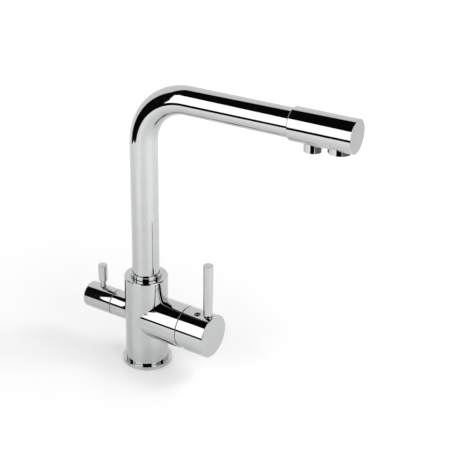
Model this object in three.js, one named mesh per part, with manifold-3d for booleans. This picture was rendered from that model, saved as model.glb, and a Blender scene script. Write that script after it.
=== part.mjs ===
// A three way filtered water tap: a round body with a mixer on one side and a filter valve on the
// other, and a swivelling spout with one outlet for mixed water and one for filtered water.
//
// Millimetres. The origin is the centre of the base on the worktop, +Z is up, +X is the axis of
// the mixer boss, and -Y is the front, where a person stands.

import * as THREE from 'three';
import { mergeVertices } from 'three/addons/utils/BufferGeometryUtils.js';
import Module from 'manifold-3d';

const wasm = await Module();
wasm.setup();

// ---------------------------------------------------------------- driving dimensions

// Fits and fineness
const gap = 0.3;                      // between pieces that touch or run in one another
const seam = 1.0;                     // open joint between the mixer boss and its cap
const filterSeam = 0.6;               // the same at the filter boss
const sides = 32;                     // facets round the outer turned pieces
const tubeSides = 28;                 // facets round the spout's tube
const hoseSides = 8;                  // facets round the filtered water tube
const innerSides = 20;                // facets round the turned pieces inside
const smallSides = 12;                // facets round small pieces and drilled holes
const hexSides = 6;                   // facets of key sockets, jet holes and sections of seals
const roundSteps = 2;                 // facets across a rounded edge
const cutOver = 1;                    // how far a cutting tool runs past the face it opens
const joinIn = 2;                     // how far a joined boss runs into what carries it
const edge = 0.4;                     // small bevel on turned edges

// Body
const bodyDiameter = 45;
const bodyHeight = 101;
const shoulderRound = 1.5;
const spigotDiameter = 40;            // the foot of the body, inside the flange
const valveHeight = 55;               // height of the axis that both valves share
const bossDiameter = 45;
const bossReach = 50;                 // end of the mixer boss, from the body's axis
const filterBossDiameter = 28;
const filterBossReach = 38.4;

// Flange and gasket
const flangeDiameter = 52;
const flangeHeight = 4.2;
const gasketWidth = 2.4;
const gasketThickness = 1.9;
const gasketInset = 1.6;              // from the flange's rim to the gasket's groove

// Ports and waterways
const portDiameter = 10;
const portDepth = 12;
const portCircle = 11.8;              // radius of the circle that the three ports lie on
const hotPortAngle = 60;              // degrees either side of +X for the hot and cold ports
const waterwayDiameter = 8;
const filterWaterwayDiameter = 6.6;
const studHoleDiameter = 6.8;
const studHoleDepth = 18;
const studHolePlace = 15;
const inletSpread = 7.5;              // cartridge ports: sideways, below and above the axis
const inletDrop = 5;
const outletRise = 9;
const cartridgePortDiameter = 6;
const outletColumnInset = 1;          // from the swivel bore's wall to the mixed water's way up
const filterWayRise = 7;              // above the valve axis, start of the way to the fitting
const filterWayDiameter = 5;

// Spout
const spoutTurn = 3.3;                // degrees from the mixer boss to the spout at rest
const spoutHeight = 299;              // axis of the level run of the tube
const tubeDiameter = 28;
const tubeWall = 1.3;
const bendRadius = 51;
const bendSteps = 8;
const headDiameter = 32;
const headStart = 158.5;
const headLength = 61.5;
const headOverlap = 9.5;              // how far the tube runs into the head
const headBevel = 0.8;
const headSpigotLength = 8;           // the head's sleeve inside the tube, past the head's start
const headEndWall = 7;
const collarDiameter = 32;
const collarHeight = 4.1;
const collarRound = 1.2;

// Swivel
const swivelBore = 26.6;
const swivelDepth = 26;
const footRoom = 1;                   // under the feet of the nipple and of the tube's fitting
const nippleBore = 17;
const nippleReach = 23;               // how far the nipple runs up inside the tube
const oRingThickness = 1.7;
const oRingGrooveDepth = 2.0;
const oRingGrooveWidth = 2.4;
const lowerORing = 8.7;               // heights above the foot of the nipple
const retainerGroove = 14;
const upperORing = 19.3;
const glideWidth = 2.6;
const glideDepth = 1.0;
const lowerGlide = 3.1;
const upperGlide = 22.6;
const retainerGrooveWidth = 4;
const retainerGrooveDepth = 1.8;
const spoutScrewDiameter = 4.4;
const spoutScrewTip = 3;
const spoutScrewLength = 9.6;
const keySocketDepth = 2;             // six-sided sockets of the set screws

// Filtered water tube
const filterTubeDiameter = 6;
const filterTubeBore = 4;
const filterTubeBend = 8;
const fittingDiameter = 10;
const fittingDepth = 6;
const fittingHead = 12;
const fittingHeadHeight = 1.7;
const barbLength = 7;
const fittingORing = 1.2;

// Outlets, measured along the spout from the head's start and down from the spout's axis
const filterOutletReach = 20.1;
const filterOutletDiameter = 17.4;
const filterOutletDrop = 22;
const filterOutletSeat = 12;
const mixedOutletReach = 46;
const mixedOutletDiameter = 22;
const mixedOutletDrop = 17.8;
const mixedOutletSeat = 9;
const outletWall = 1.4;
const outletLip = 0.8;
const outletLipHeight = 1.5;
const washerThickness = 1.3;
const washerWidth = 2.5;
const insertHoles = 6;
const insertHoleDiameter = 2.6;
const insertCircle = 0.6;             // the circle of holes, as a share of the insert's radius

// Mixing cartridge, from the boss's mouth inward
const cartridgeDiameter = 35;
const nutDiameter = 38.8;
const nutBore = 25.6;
const nutThickness = 3.2;
const nutSlot = 4;
const nutSlotDepth = 1.5;
const shellWallThickness = 2.5;
const shellBore = 30;
const shellCollar = 25;
const shellCollarLength = 6.5;
const rotorNeck = 19;
const rotorFlange = 29.2;
const rotorFlangeThickness = 10.4;
const carrierDiameter = 24;
const carrierPlate = 3.1;
const carrierBoss = 10;
const carrierBossLength = 5;
const movingDiscDiameter = 22.8;
const discThickness = 4;
const discPocketWidth = 16.8;
const discPocketHeight = 12;
const discPocketDepth = 2.2;
const cartridgeBaseThickness = 5.2;
const cartridgeSealDiameter = 9.2;
const cartridgeSealThickness = 1.0;
const closedOffset = 2.4;             // how far below the axis the moving disc lies when closed
const stemSize = 8;
const stemDepth = 6;
const stemNeck = 3.8;
const stemBall = 6;
const stemArm = 14;                   // from the tilting pin to the centre of the ball
const stemReach = 27.5;
const stemNeckLength = 4.5;           // from the ball's centre to the flat part
const pivotDiameter = 3;
const rotorReach = 7;                 // from the tilting pin to the end of the rotor's neck
const rotorChannel = 21.2;            // length of the channel that the carrier slides in
const stemPlay = 0.4;                 // each side of the stem in the rotor's slot
const tiltSlotInner = 17.2;
const tiltSlotMiddle = 12;
const tiltSlotOuter = 14.6;
const rotorRingThickness = 1.2;

// Mixer cap and lever
const capDiameter = 45;
const capReach = 33;                  // from the end of the boss to the cap's outer end
const capWall = 1.3;
const capFace = 3;
const capRound = 1.0;
const hubDiameter = 18;
const hubStart = 11;                  // from the tilting pin to the inner end of the hub
const domeDiameter = 41.8;
const domeWall = 1.6;
const domeReach = 10.5;               // from the tilting pin to the dome's front edge
const leverReach = 26;                // from the end of the boss
const leverTop = 79.5;                // above the valve axis
const leverFootDiameter = 9.4;
const leverTopDiameter = 10;
const leverStud = 6;
const leverStudLength = 10.5;
const leverBoss = 11;
const mixerScrewReach = 16;           // from the end of the boss
const mixerScrewLean = 10;            // degrees from upright towards the front
const mixerScrewDiameter = 6;
const mixerScrewLength = 13.6;
const mixerScrewBoss = 9.6;
const reliefWedgeDrop = 2;            // relief at the cap's lower back edge, below the axis
const reliefCornerDrop = 8;
const reliefShoulderDrop = 8.9;
const reliefWedgeDepth = 2.3;
const reliefDepth = 8.2;
const reliefRound = 3.2;

// Filter valve, from the seat outward
const filterCavityDiameter = 20;
const filterCavityFloor = 20;
const seatWasherThickness = 1.5;
const seatWasherBore = 8;
const filterDiscDiameter = 14.8;
const filterDiscThickness = 3;
const filterDiscPorts = 4.8;
const filterDiscPortDiameter = 3.4;
const valveBodyBore = 15.4;
const valveSeatLip = 0.1;
const valveWindow = 5;
const valveWindowInset = 8.4;         // from the end of the filter boss inwards
const valveFlange = 22.4;
const valveFlangeThickness = 4.3;
const valveNeck = 13;
const valveNeckLength = 4;
const valveORingInset = 1.2;          // from the end of the filter boss inwards
const spindleDiameter = 8.2;
const spindleFlangeThickness = 2;
const spindleStub = 5.6;
const spindleReach = 23.6;            // past the end of the filter boss
const spindleBlade = 2.4;
const bladeDepth = 1.5;
const spindleRingThickness = 0.9;
const circlipDiameter = 11.2;
const circlipThickness = 0.8;
const circlipGroove = 0.7;            // depth of its groove
const circlipMouth = 2;               // opening of the ring

// Filter cap and lever
const filterCapDiameter = 28;
const filterCapReach = 35.6;          // this and the next three, from the end of the filter boss
const filterCapWall = 1.4;
const filterCapFace = 3;
const filterCapRound = 2;
const filterHubDiameter = 13;
const filterHubReach = 11.6;
const filterLeverReach = 18.1;
const filterLeverTop = 39.5;
const filterLeverNeck = 6;
const filterLeverNeckTop = 20.4;
const filterLeverShoulder = 1.3;      // height of the cone between neck and barrel
const filterLeverStud = 4.6;
const filterLeverStudLength = 7.7;
const filterLeverBoss = 9;
const filterScrewReach = 21.6;
const filterScrewDiameter = 3.4;
const filterScrewLength = 8;

const chrome = { color: 0xdadbdd, roughness: 0.06, metalness: 1.0 };
const brass = { color: 0xc9a35a, roughness: 0.35, metalness: 1.0 };
const steel = { color: 0xa9abae, roughness: 0.3, metalness: 1.0 };
const rubber = { color: 0x1b1b1c, roughness: 0.8, metalness: 0.0 };
const plastic = { color: 0xe6e6e2, roughness: 0.45, metalness: 0.0 };
const ceramic = { color: 0xf4f2ec, roughness: 0.2, metalness: 0.0 };

// ---------------------------------------------------------------- solids

// A closed geometry as a solid that can be joined and cut.
function solid(geometry) {
  geometry.deleteAttribute('normal');
  geometry.deleteAttribute('uv');
  const merged = mergeVertices(geometry);
  const corners = merged.index.array;
  const kept = [];
  for (let i = 0; i < corners.length; i += 3) {
    const [a, b, c] = corners.slice(i, i + 3);
    if (a !== b && b !== c && c !== a) kept.push(a, b, c);
  }
  const vertProperties = new Float32Array(merged.attributes.position.array);
  const triVerts = new Uint32Array(kept);
  return new wasm.Manifold(new wasm.Mesh({ numProp: 3, vertProperties, triVerts }));
}

// A named mesh, with a material of its own, from a solid.
function piece(name, shape, finish) {
  const { vertProperties, triVerts } = shape.getMesh();
  const geometry = new THREE.BufferGeometry();
  geometry.setAttribute('position', new THREE.BufferAttribute(vertProperties, 3));
  geometry.setIndex(new THREE.BufferAttribute(triVerts, 1));
  geometry.computeVertexNormals();
  const mesh = new THREE.Mesh(geometry, new THREE.MeshStandardMaterial(finish));
  mesh.name = name;
  return mesh;
}

// Turns a lathe geometry's own axis, which is Y, onto X or Z.
function onAxis(axis, geometry) {
  return axis === 'x' ? geometry.rotateZ(-Math.PI / 2) : geometry.rotateX(Math.PI / 2);
}

// A solid turned round X or Z from a profile of [place along the axis, radius] points.
function turned(axis, profile, count = sides) {
  const points = profile.map(([along, radius]) => new THREE.Vector2(radius, along));
  return solid(onAxis(axis, new THREE.LatheGeometry(points, count)));
}

// A plain ring with a square section.
function ring(axis, from, to, bore, outer, count = innerSides) {
  const inner = bore / 2;
  const radius = outer / 2;
  return turned(axis, [[from, inner], [from, radius], [to, radius], [to, inner], [from, inner]], count);
}

// A sealing ring with a round section that lies on the wall of a groove.
function sealRing(axis, place, grooveRadius, thickness, count = innerSides) {
  const middle = grooveRadius + gap / 2 + thickness / 2;
  const torus = new THREE.TorusGeometry(middle, thickness / 2, hexSides, count);
  if (axis === 'x') torus.rotateY(Math.PI / 2).translate(place, 0, 0);
  else torus.translate(0, 0, place);
  return solid(torus);
}

// A round bar between two points.
function bar(from, to, diameter, count = smallSides) {
  const start = new THREE.Vector3(...from);
  const run = new THREE.Vector3(...to).sub(start);
  const cylinder = new THREE.CylinderGeometry(diameter / 2, diameter / 2, run.length(), count);
  const up = new THREE.Vector3(0, 1, 0);
  const turn = new THREE.Quaternion().setFromUnitVectors(up, run.clone().normalize());
  cylinder.applyQuaternion(turn);
  const middle = start.addScaledVector(run, 0.5);
  return solid(cylinder.translate(middle.x, middle.y, middle.z));
}

// A block between two corners.
function block(low, high) {
  const size = high.map((value, i) => value - low[i]);
  const box = new THREE.BoxGeometry(...size);
  return solid(box.translate(...low.map((value, i) => value + size[i] / 2)));
}

// Points of a quarter round edge: from one direction to another, in degrees, in a profile.
function rounded(centreAlong, centreRadius, radius, fromAngle, toAngle) {
  return Array.from({ length: roundSteps + 1 }, (_, i) => {
    const angle = THREE.MathUtils.degToRad(fromAngle + ((toAngle - fromAngle) * i) / roundSteps);
    return [centreAlong + radius * Math.sin(angle), centreRadius + radius * Math.cos(angle)];
  });
}

// A line through stations, with one ring of a swept tube at each.
class StationLine extends THREE.Curve {
  constructor(stations) {
    super();
    this.stations = stations;
  }

  index(t) {
    return Math.round(t * (this.stations.length - 1));
  }

  getPoint(t, target = new THREE.Vector3()) {
    return target.copy(this.stations[this.index(t)]);
  }

  getPointAt(t, target) {
    return this.getPoint(t, target);
  }

  getTangentAt(t, target = new THREE.Vector3()) {
    const i = this.index(t);
    const last = this.stations.length - 1;
    const next = this.stations[Math.min(i + 1, last)];
    return target.copy(next).sub(this.stations[Math.max(i - 1, 0)]).normalize();
  }
}

// A round tube swept along stations.
function sweptTube(stations, outer, bore, count) {
  const section = new THREE.Shape().absarc(0, 0, outer / 2, 0, Math.PI * 2);
  section.holes.push(new THREE.Path().absarc(0, 0, bore / 2, 0, Math.PI * 2));
  return solid(new THREE.ExtrudeGeometry(section, {
    steps: stations.length - 1,
    curveSegments: count / 2,
    extrudePath: new StationLine(stations),
  }));
}

// Stations round a bend in the XZ plane, about a centre, between two directions in degrees.
function bendStations(centreX, centreZ, radius, fromAngle, toAngle, steps) {
  return Array.from({ length: steps + 1 }, (_, i) => {
    const angle = THREE.MathUtils.degToRad(fromAngle + ((toAngle - fromAngle) * i) / steps);
    return new THREE.Vector3(centreX + radius * Math.cos(angle), 0, centreZ + radius * Math.sin(angle));
  });
}

// ---------------------------------------------------------------- places worked out from the sizes

const swivelFloor = bodyHeight - swivelDepth;
const nippleFoot = swivelFloor + footRoom;
const nippleDiameter = swivelBore - 2 * gap;
const tubeBore = tubeDiameter - 2 * tubeWall;
const tubeFoot = bodyHeight + gap;
const fittingSocketFloor = swivelFloor - fittingDepth - footRoom;
const spoutScrewHeight = nippleFoot + retainerGroove;
const tubeEnd = headStart + headOverlap;
const headEnd = headStart + headLength;
const filterOutletPlace = headStart + filterOutletReach;
const mixedOutletPlace = headStart + mixedOutletReach;

const cartridgeBore = cartridgeDiameter + 2 * gap;
const nutStart = bossReach - nutThickness;
const shellFront = nutStart - gap;
const shellInside = shellFront - shellWallThickness;
const rotorFlangeEnd = shellInside - gap;
const rotorStart = rotorFlangeEnd - rotorFlangeThickness;
const carrierPlateEnd = rotorStart - gap;
const carrierStart = carrierPlateEnd - carrierPlate;
const movingDiscStart = carrierStart - gap - discThickness;
const fixedDiscStart = movingDiscStart - gap - discThickness;
const cartridgeBaseStart = fixedDiscStart - gap - cartridgeBaseThickness;
const cavityFloor = cartridgeBaseStart - gap;
const pivotPlace = bossReach;          // the tilting pin lies level with the end of the boss
const capStart = bossReach + seam;
const capEnd = bossReach + capReach;
const leverPlace = bossReach + leverReach;
const mixerScrewPlace = bossReach + mixerScrewReach;
const capBore = capDiameter - 2 * capWall;

const valveWindowPlace = filterBossReach - valveWindowInset;
const valveORingPlace = filterBossReach - valveORingInset;
const spindleEnd = filterBossReach + spindleReach;
const valveStart = filterCavityFloor + 2 * gap + seatWasherThickness;
const filterFixedStart = valveStart + gap;
const filterMovingStart = filterFixedStart + filterDiscThickness + gap;
const filterMovingEnd = filterMovingStart + filterDiscThickness;
const valveBoreEnd = valveORingPlace - oRingGrooveWidth / 2;
const valveFlangeStart = filterBossReach + gap;
const valveFlangeEnd = valveFlangeStart + valveFlangeThickness;
const valveNeckEnd = valveFlangeEnd + valveNeckLength;
const filterCapStart = filterBossReach + filterSeam;
const filterCapEnd = filterBossReach + filterCapReach;
const filterHubStart = filterBossReach + filterHubReach;
const filterLeverPlace = filterBossReach + filterLeverReach;
const filterScrewPlace = filterBossReach + filterScrewReach;
const filterCapBore = filterCapDiameter - 2 * filterCapWall;
const spindleBore = spindleDiameter + 2 * gap;

// Centres of the three ports in the underside: hot, cold and filtered water.
const portCentres = [hotPortAngle, -hotPortAngle, 180].map((degrees) => {
  const angle = THREE.MathUtils.degToRad(degrees);
  return [portCircle * Math.cos(angle), portCircle * Math.sin(angle)];
});

// ---------------------------------------------------------------- body and flange

function bodySolid() {
  const radius = bodyDiameter / 2;
  const step = flangeHeight + gap;
  const barrel = turned('z', [
    [0, 0],
    [0, spigotDiameter / 2],
    [step, spigotDiameter / 2],
    [step, radius],
    ...rounded(bodyHeight - shoulderRound, radius - shoulderRound, shoulderRound, 0, 90),
    [bodyHeight, 0],
  ]);
  const boss = turned('x', [
    [0, 0],
    [0, bossDiameter / 2],
    [bossReach - edge, bossDiameter / 2],
    [bossReach, bossDiameter / 2 - edge],
    [bossReach, 0],
  ]).translate([0, 0, valveHeight]);
  const filterBoss = turned('x', [
    [-filterBossReach, 0],
    [-filterBossReach, filterBossDiameter / 2 - edge],
    [-filterBossReach + edge, filterBossDiameter / 2],
    [0, filterBossDiameter / 2],
    [0, 0],
  ]).translate([0, 0, valveHeight]);

  const cuts = [
    ...cartridgeCavity(),
    ...filterCavity(),
    ...swivelCavity(),
    ...inletWaterways(),
    bar([studHolePlace, 0, -cutOver], [studHolePlace, 0, studHoleDepth], studHoleDiameter),
  ];
  return cuts.reduce((shape, cut) => shape.subtract(cut), barrel.add(boss).add(filterBoss));
}

// The cartridge's bore, the wider thread of its nut, and the three ways in its floor.
function cartridgeCavity() {
  const waysStart = portCentres[0][0];
  const [inletLow, outletHigh] = [valveHeight - inletDrop, valveHeight + outletRise];
  const outletColumn = (swivelBore - cartridgePortDiameter) / 2 - outletColumnInset;
  const threadStart = nutStart - gap;
  const inlet = (y) => (
    bar([waysStart, y, inletLow], [cavityFloor + cutOver, y, inletLow], cartridgePortDiameter));
  return [
    turned('x', [
      [cavityFloor, 0],
      [cavityFloor, cartridgeBore / 2],
      [threadStart, cartridgeBore / 2],
      [threadStart, nutDiameter / 2 + gap],
      [bossReach + cutOver, nutDiameter / 2 + gap],
      [bossReach + cutOver, 0],
    ], innerSides).translate([0, 0, valveHeight]),
    inlet(inletSpread),
    inlet(-inletSpread),
    bar([outletColumn, 0, outletHigh], [cavityFloor + cutOver, 0, outletHigh], cartridgePortDiameter),
    bar([outletColumn, 0, outletHigh - cartridgePortDiameter / 2],
      [outletColumn, 0, swivelFloor + cutOver], cartridgePortDiameter),
  ];
}

// The filter valve's bore, the way in through its seat and the way out to the foot of the tube.
function filterCavity() {
  const [portX] = portCentres[2];
  const wayStart = [joinIn - valveWindowPlace, 0, valveHeight + filterWayRise];
  return [
    bar([-filterBossReach - cutOver, 0, valveHeight], [-filterCavityFloor, 0, valveHeight],
      filterCavityDiameter, innerSides),
    bar([-filterCavityFloor - cutOver, 0, valveHeight], [portX, 0, valveHeight], filterWaterwayDiameter),
    bar(wayStart, [0, 0, fittingSocketFloor + 2 * footRoom], filterWayDiameter),
  ];
}

// The bore that the spout swivels in, the socket in its floor and the hole of the holding screw.
function swivelCavity() {
  const wall = bodyDiameter / 2;
  const socket = fittingDiameter + 2 * gap;
  return [
    bar([0, 0, swivelFloor], [0, 0, bodyHeight + cutOver], swivelBore, innerSides),
    bar([0, 0, fittingSocketFloor], [0, 0, swivelFloor + cutOver], socket),
    bar([0, wall / 2, spoutScrewHeight], [0, wall + cutOver, spoutScrewHeight],
      spoutScrewDiameter + 2 * gap),
  ];
}

// Threaded ports in the underside, each with its way up to the height of its valve.
function inletWaterways() {
  const way = ([x, y], height, diameter) => [
    bar([x, y, -cutOver], [x, y, portDepth], portDiameter),
    bar([x, y, portDepth - cutOver], [x, y, height + diameter / 2], diameter),
  ];
  const [hot, cold, filtered] = portCentres;
  return [
    ...way(hot, valveHeight - inletDrop, waterwayDiameter),
    ...way(cold, valveHeight - inletDrop, waterwayDiameter),
    ...way(filtered, valveHeight, filterWaterwayDiameter),
  ];
}

function flangeSolid() {
  const rim = flangeDiameter / 2;
  const grooveOuter = rim - gasketInset;
  const grooveInner = grooveOuter - gasketWidth - 2 * gap;
  const grooveTop = gasketThickness + gap;
  const bore = spigotDiameter / 2 + gap;
  return turned('z', [
    [0, bore],
    [0, grooveInner],
    [grooveTop, grooveInner],
    [grooveTop, grooveOuter],
    [0, grooveOuter],
    [0, rim],
    [flangeHeight - edge, rim],
    [flangeHeight, rim - edge],
    [flangeHeight, bore],
    [0, bore],
  ]);
}

function gasketSolid() {
  const outer = flangeDiameter - 2 * (gasketInset + gap);
  return ring('z', 0, gasketThickness, outer - 2 * gasketWidth, outer, sides);
}

// ---------------------------------------------------------------- spout

function tubeSolid() {
  const bendFoot = spoutHeight - bendRadius;
  return sweptTube([
    new THREE.Vector3(0, 0, tubeFoot),
    ...bendStations(bendRadius, bendFoot, bendRadius, 180, 90, bendSteps),
    new THREE.Vector3(tubeEnd, 0, spoutHeight),
  ], tubeDiameter, tubeBore, tubeSides);
}

function collarSolid() {
  const top = tubeFoot + collarHeight;
  const outer = collarDiameter / 2;
  const bore = tubeDiameter / 2 + gap;
  return turned('z', [
    [tubeFoot, bore],
    [tubeFoot, outer],
    ...rounded(top - collarRound, outer - collarRound, collarRound, 0, 90),
    [top, bore],
    [tubeFoot, bore],
  ]);
}

function nippleSolid() {
  const outer = nippleDiameter / 2;
  const groove = (middle, width, depth) => [
    [nippleFoot + middle - width / 2, outer],
    [nippleFoot + middle - width / 2, outer - depth],
    [nippleFoot + middle + width / 2, outer - depth],
    [nippleFoot + middle + width / 2, outer],
  ];
  const upper = tubeBore / 2 - gap;
  return turned('z', [
    [nippleFoot, nippleBore / 2],
    [nippleFoot, outer],
    ...groove(lowerGlide, glideWidth + 2 * gap, glideDepth),
    ...groove(lowerORing, oRingGrooveWidth, oRingGrooveDepth),
    ...groove(retainerGroove, retainerGrooveWidth, retainerGrooveDepth),
    ...groove(upperORing, oRingGrooveWidth, oRingGrooveDepth),
    ...groove(upperGlide, glideWidth + 2 * gap, glideDepth),
    [bodyHeight, outer],
    [bodyHeight, upper],
    [tubeFoot + nippleReach, upper],
    [tubeFoot + nippleReach, nippleBore / 2],
    [nippleFoot, nippleBore / 2],
  ], innerSides);
}

function nippleSeal(middle) {
  return sealRing('z', nippleFoot + middle, nippleDiameter / 2 - oRingGrooveDepth, oRingThickness);
}

function glideRing(middle) {
  const foot = nippleFoot + middle - glideWidth / 2;
  const bore = nippleDiameter - 2 * glideDepth + gap;
  return ring('z', foot, foot + glideWidth, bore, nippleDiameter + gap / 2);
}

// The holding screw: a set screw with a narrow tip in the nipple's groove, from the back.
function spoutScrewSolid() {
  const tipEnd = nippleDiameter / 2 - retainerGrooveDepth + gap;
  const shankStart = swivelBore / 2 + gap;
  const screwEnd = tipEnd + spoutScrewLength;
  const socket = [[0, screwEnd - keySocketDepth, 0], [0, screwEnd + cutOver, 0]];
  return bar([0, tipEnd, 0], [0, shankStart + joinIn, 0], spoutScrewTip)
    .add(bar([0, shankStart, 0], [0, screwEnd, 0], spoutScrewDiameter))
    .subtract(bar(...socket, spoutScrewDiameter / 2, hexSides))
    .translate([0, 0, spoutScrewHeight]);
}

function filterTubeSolid() {
  const bendFoot = spoutHeight - bendRadius;
  return sweptTube([
    new THREE.Vector3(0, 0, swivelFloor + fittingHeadHeight + 2 * gap),
    ...bendStations(bendRadius, bendFoot, bendRadius, 180, 90, bendSteps),
    ...bendStations(filterOutletPlace - filterTubeBend, spoutHeight - filterTubeBend, filterTubeBend,
      90, 0, bendSteps / 2),
    new THREE.Vector3(filterOutletPlace, 0, spoutHeight - filterOutletSeat),
  ], filterTubeDiameter, filterTubeBore, hoseSides);
}

// The turning plug at the foot of the filtered water tube, with a barb inside the tube.
function fittingSolid() {
  const foot = fittingSocketFloor + footRoom;
  const groove = foot + fittingDepth / 2;
  const outer = fittingDiameter / 2;
  const headFoot = swivelFloor + gap;
  const headTop = headFoot + fittingHeadHeight;
  const barb = filterTubeBore / 2 - gap;
  const bore = barb / 2;
  return turned('z', [
    [foot, bore],
    [foot, outer],
    [groove - fittingORing, outer],
    [groove - fittingORing, outer - fittingORing],
    [groove + fittingORing, outer - fittingORing],
    [groove + fittingORing, outer],
    [headFoot, outer],
    [headFoot, fittingHead / 2],
    [headTop, fittingHead / 2],
    [headTop, barb],
    [headTop + barbLength, barb],
    [headTop + barbLength, bore],
    [foot, bore],
  ], smallSides);
}

function fittingSeal() {
  const middle = fittingSocketFloor + footRoom + fittingDepth / 2;
  return sealRing('z', middle, fittingDiameter / 2 - fittingORing, fittingORing, smallSides);
}

// The head: a sleeve over the tube, a spigot inside it, a chamber and the two outlets' seats.
function headSolid() {
  const outer = headDiameter / 2;
  const spigot = tubeBore / 2 - gap;
  const spigotEnd = headStart - headSpigotLength;
  const groove = spigotEnd + 3 * oRingThickness;
  const chamber = nippleBore / 2;
  const shell = turned('x', [
    [spigotEnd, chamber],
    [spigotEnd, spigot],
    [groove - oRingGrooveWidth / 2, spigot],
    [groove - oRingGrooveWidth / 2, spigot - oRingGrooveDepth],
    [groove + oRingGrooveWidth / 2, spigot - oRingGrooveDepth],
    [groove + oRingGrooveWidth / 2, spigot],
    [tubeEnd + gap, spigot],
    [tubeEnd + gap, tubeDiameter / 2 + gap],
    [headStart, tubeDiameter / 2 + gap],
    [headStart, outer - headBevel],
    [headStart + headBevel, outer],
    [headEnd - edge, outer],
    [headEnd, outer - edge],
    [headEnd, 0],
    [headEnd - headEndWall, 0],
    [headEnd - headEndWall, chamber],
    [spigotEnd, chamber],
  ]);
  const seat = (place, diameter, depth, neck) => [
    bar([place, 0, -headDiameter], [place, 0, -depth], diameter + 2 * gap, innerSides),
    bar([place, 0, -depth - cutOver], [place, 0, -chamber / 2], neck),
  ];
  const cuts = [
    ...seat(mixedOutletPlace, mixedOutletDiameter, mixedOutletSeat, nippleBore),
    ...seat(filterOutletPlace, filterOutletDiameter, filterOutletSeat, filterTubeDiameter + 2 * gap),
  ];
  return cuts.reduce((shape, cut) => shape.subtract(cut), shell).translate([0, 0, spoutHeight]);
}

function headSeal() {
  const place = headStart - headSpigotLength + 3 * oRingThickness;
  const groove = tubeBore / 2 - gap - oRingGrooveDepth;
  return sealRing('x', place, groove, oRingThickness).translate([0, 0, spoutHeight]);
}

// Each outlet's diameter, its drop below the spout's axis and the depth of its seat in the head.
const mixedOutlet = [mixedOutletDiameter, mixedOutletDrop, mixedOutletSeat];
const filterOutlet = [filterOutletDiameter, filterOutletDrop, filterOutletSeat];

// The round shell of an outlet, open at the top, with a lip at its mouth.
function outletShell([diameter, drop, seat]) {
  const outer = diameter / 2;
  const inner = outer - outletWall;
  return turned('z', [
    [-drop, inner - outletLip],
    [-drop, outer - edge],
    [-drop + edge, outer],
    [-seat - gap, outer],
    [-seat - gap, inner],
    [-drop + outletLipHeight, inner],
    [-drop + outletLipHeight, inner - outletLip],
    [-drop, inner - outletLip],
  ], innerSides);
}

// The plastic insert that shapes the jet: a disc with a middle hole and a circle of holes.
function outletInsert([diameter, drop, seat]) {
  const radius = diameter / 2 - outletWall - gap;
  const foot = -drop + outletLipHeight + gap;
  const top = -seat - washerThickness - 2 * gap;
  const disc = bar([0, 0, foot], [0, 0, top], 2 * radius, innerSides);
  const hole = (x, y) => (
    bar([x, y, foot - cutOver], [x, y, top + cutOver], insertHoleDiameter, hexSides));
  return Array.from({ length: insertHoles }, (_, i) => {
    const angle = (i / insertHoles) * Math.PI * 2;
    return hole(radius * insertCircle * Math.cos(angle), radius * insertCircle * Math.sin(angle));
  }).reduce((shape, cut) => shape.subtract(cut), disc.subtract(hole(0, 0)));
}

function outletWasher([diameter, , seat]) {
  const outer = diameter - 2 * (outletWall + gap);
  const top = -seat - gap;
  return ring('z', top - washerThickness, top, outer - 2 * washerWidth, outer);
}

// ---------------------------------------------------------------- mixing cartridge and mixer handle

const cartridgePorts = [[inletSpread, -inletDrop], [-inletSpread, -inletDrop], [0, outletRise]];

function drillPorts(shape, from, to, diameter) {
  const drill = (rest, [y, z]) => rest.subtract(bar([from, y, z], [to, y, z], diameter));
  return cartridgePorts.reduce(drill, shape);
}

function cartridgeBaseSolid() {
  const [start, end] = [cartridgeBaseStart, cartridgeBaseStart + cartridgeBaseThickness];
  const pocket = start + cartridgeSealThickness + gap;
  const disc = bar([start, 0, 0], [end, 0, 0], cartridgeDiameter, innerSides);
  const drilled = drillPorts(disc, start - cutOver, end + cutOver, cartridgePortDiameter);
  return drillPorts(drilled, start - cutOver, pocket, cartridgeSealDiameter + 2 * gap);
}

function cartridgeSeal([y, z]) {
  const seal = ring('x', cartridgeBaseStart, cartridgeBaseStart + cartridgeSealThickness,
    cartridgePortDiameter + 2 * gap, cartridgeSealDiameter, smallSides);
  return seal.translate([0, y, z]);
}

function fixedDiscSolid() {
  const end = fixedDiscStart + discThickness;
  const disc = bar([fixedDiscStart, 0, 0], [end, 0, 0], shellBore - 2 * gap, innerSides);
  return drillPorts(disc, fixedDiscStart - cutOver, end + cutOver, cartridgePortDiameter - gap);
}

function movingDiscSolid() {
  const end = movingDiscStart + discThickness;
  return bar([movingDiscStart, 0, 0], [end, 0, 0], movingDiscDiameter, innerSides)
    .subtract(block([movingDiscStart - cutOver, -discPocketWidth / 2, -discPocketHeight / 2],
      [movingDiscStart + discPocketDepth, discPocketWidth / 2, discPocketHeight / 2]))
    .translate([0, 0, -closedOffset]);
}

// Carries the moving disc; the stem's ball sits on the axis, in the open socket of its boss.
function carrierSolid() {
  const bossEnd = carrierPlateEnd + carrierBossLength;
  const ball = pivotPlace - stemArm;
  const socketFloor = ball - stemBall / 2 - gap;
  const low = -closedOffset;
  return bar([carrierStart, 0, low], [carrierPlateEnd, 0, low], carrierDiameter, innerSides)
    .add(bar([carrierPlateEnd - joinIn, 0, 0], [bossEnd, 0, 0], carrierBoss))
    .subtract(bar([socketFloor, 0, 0], [bossEnd + cutOver, 0, 0], stemBall + 3 * gap));
}

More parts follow.
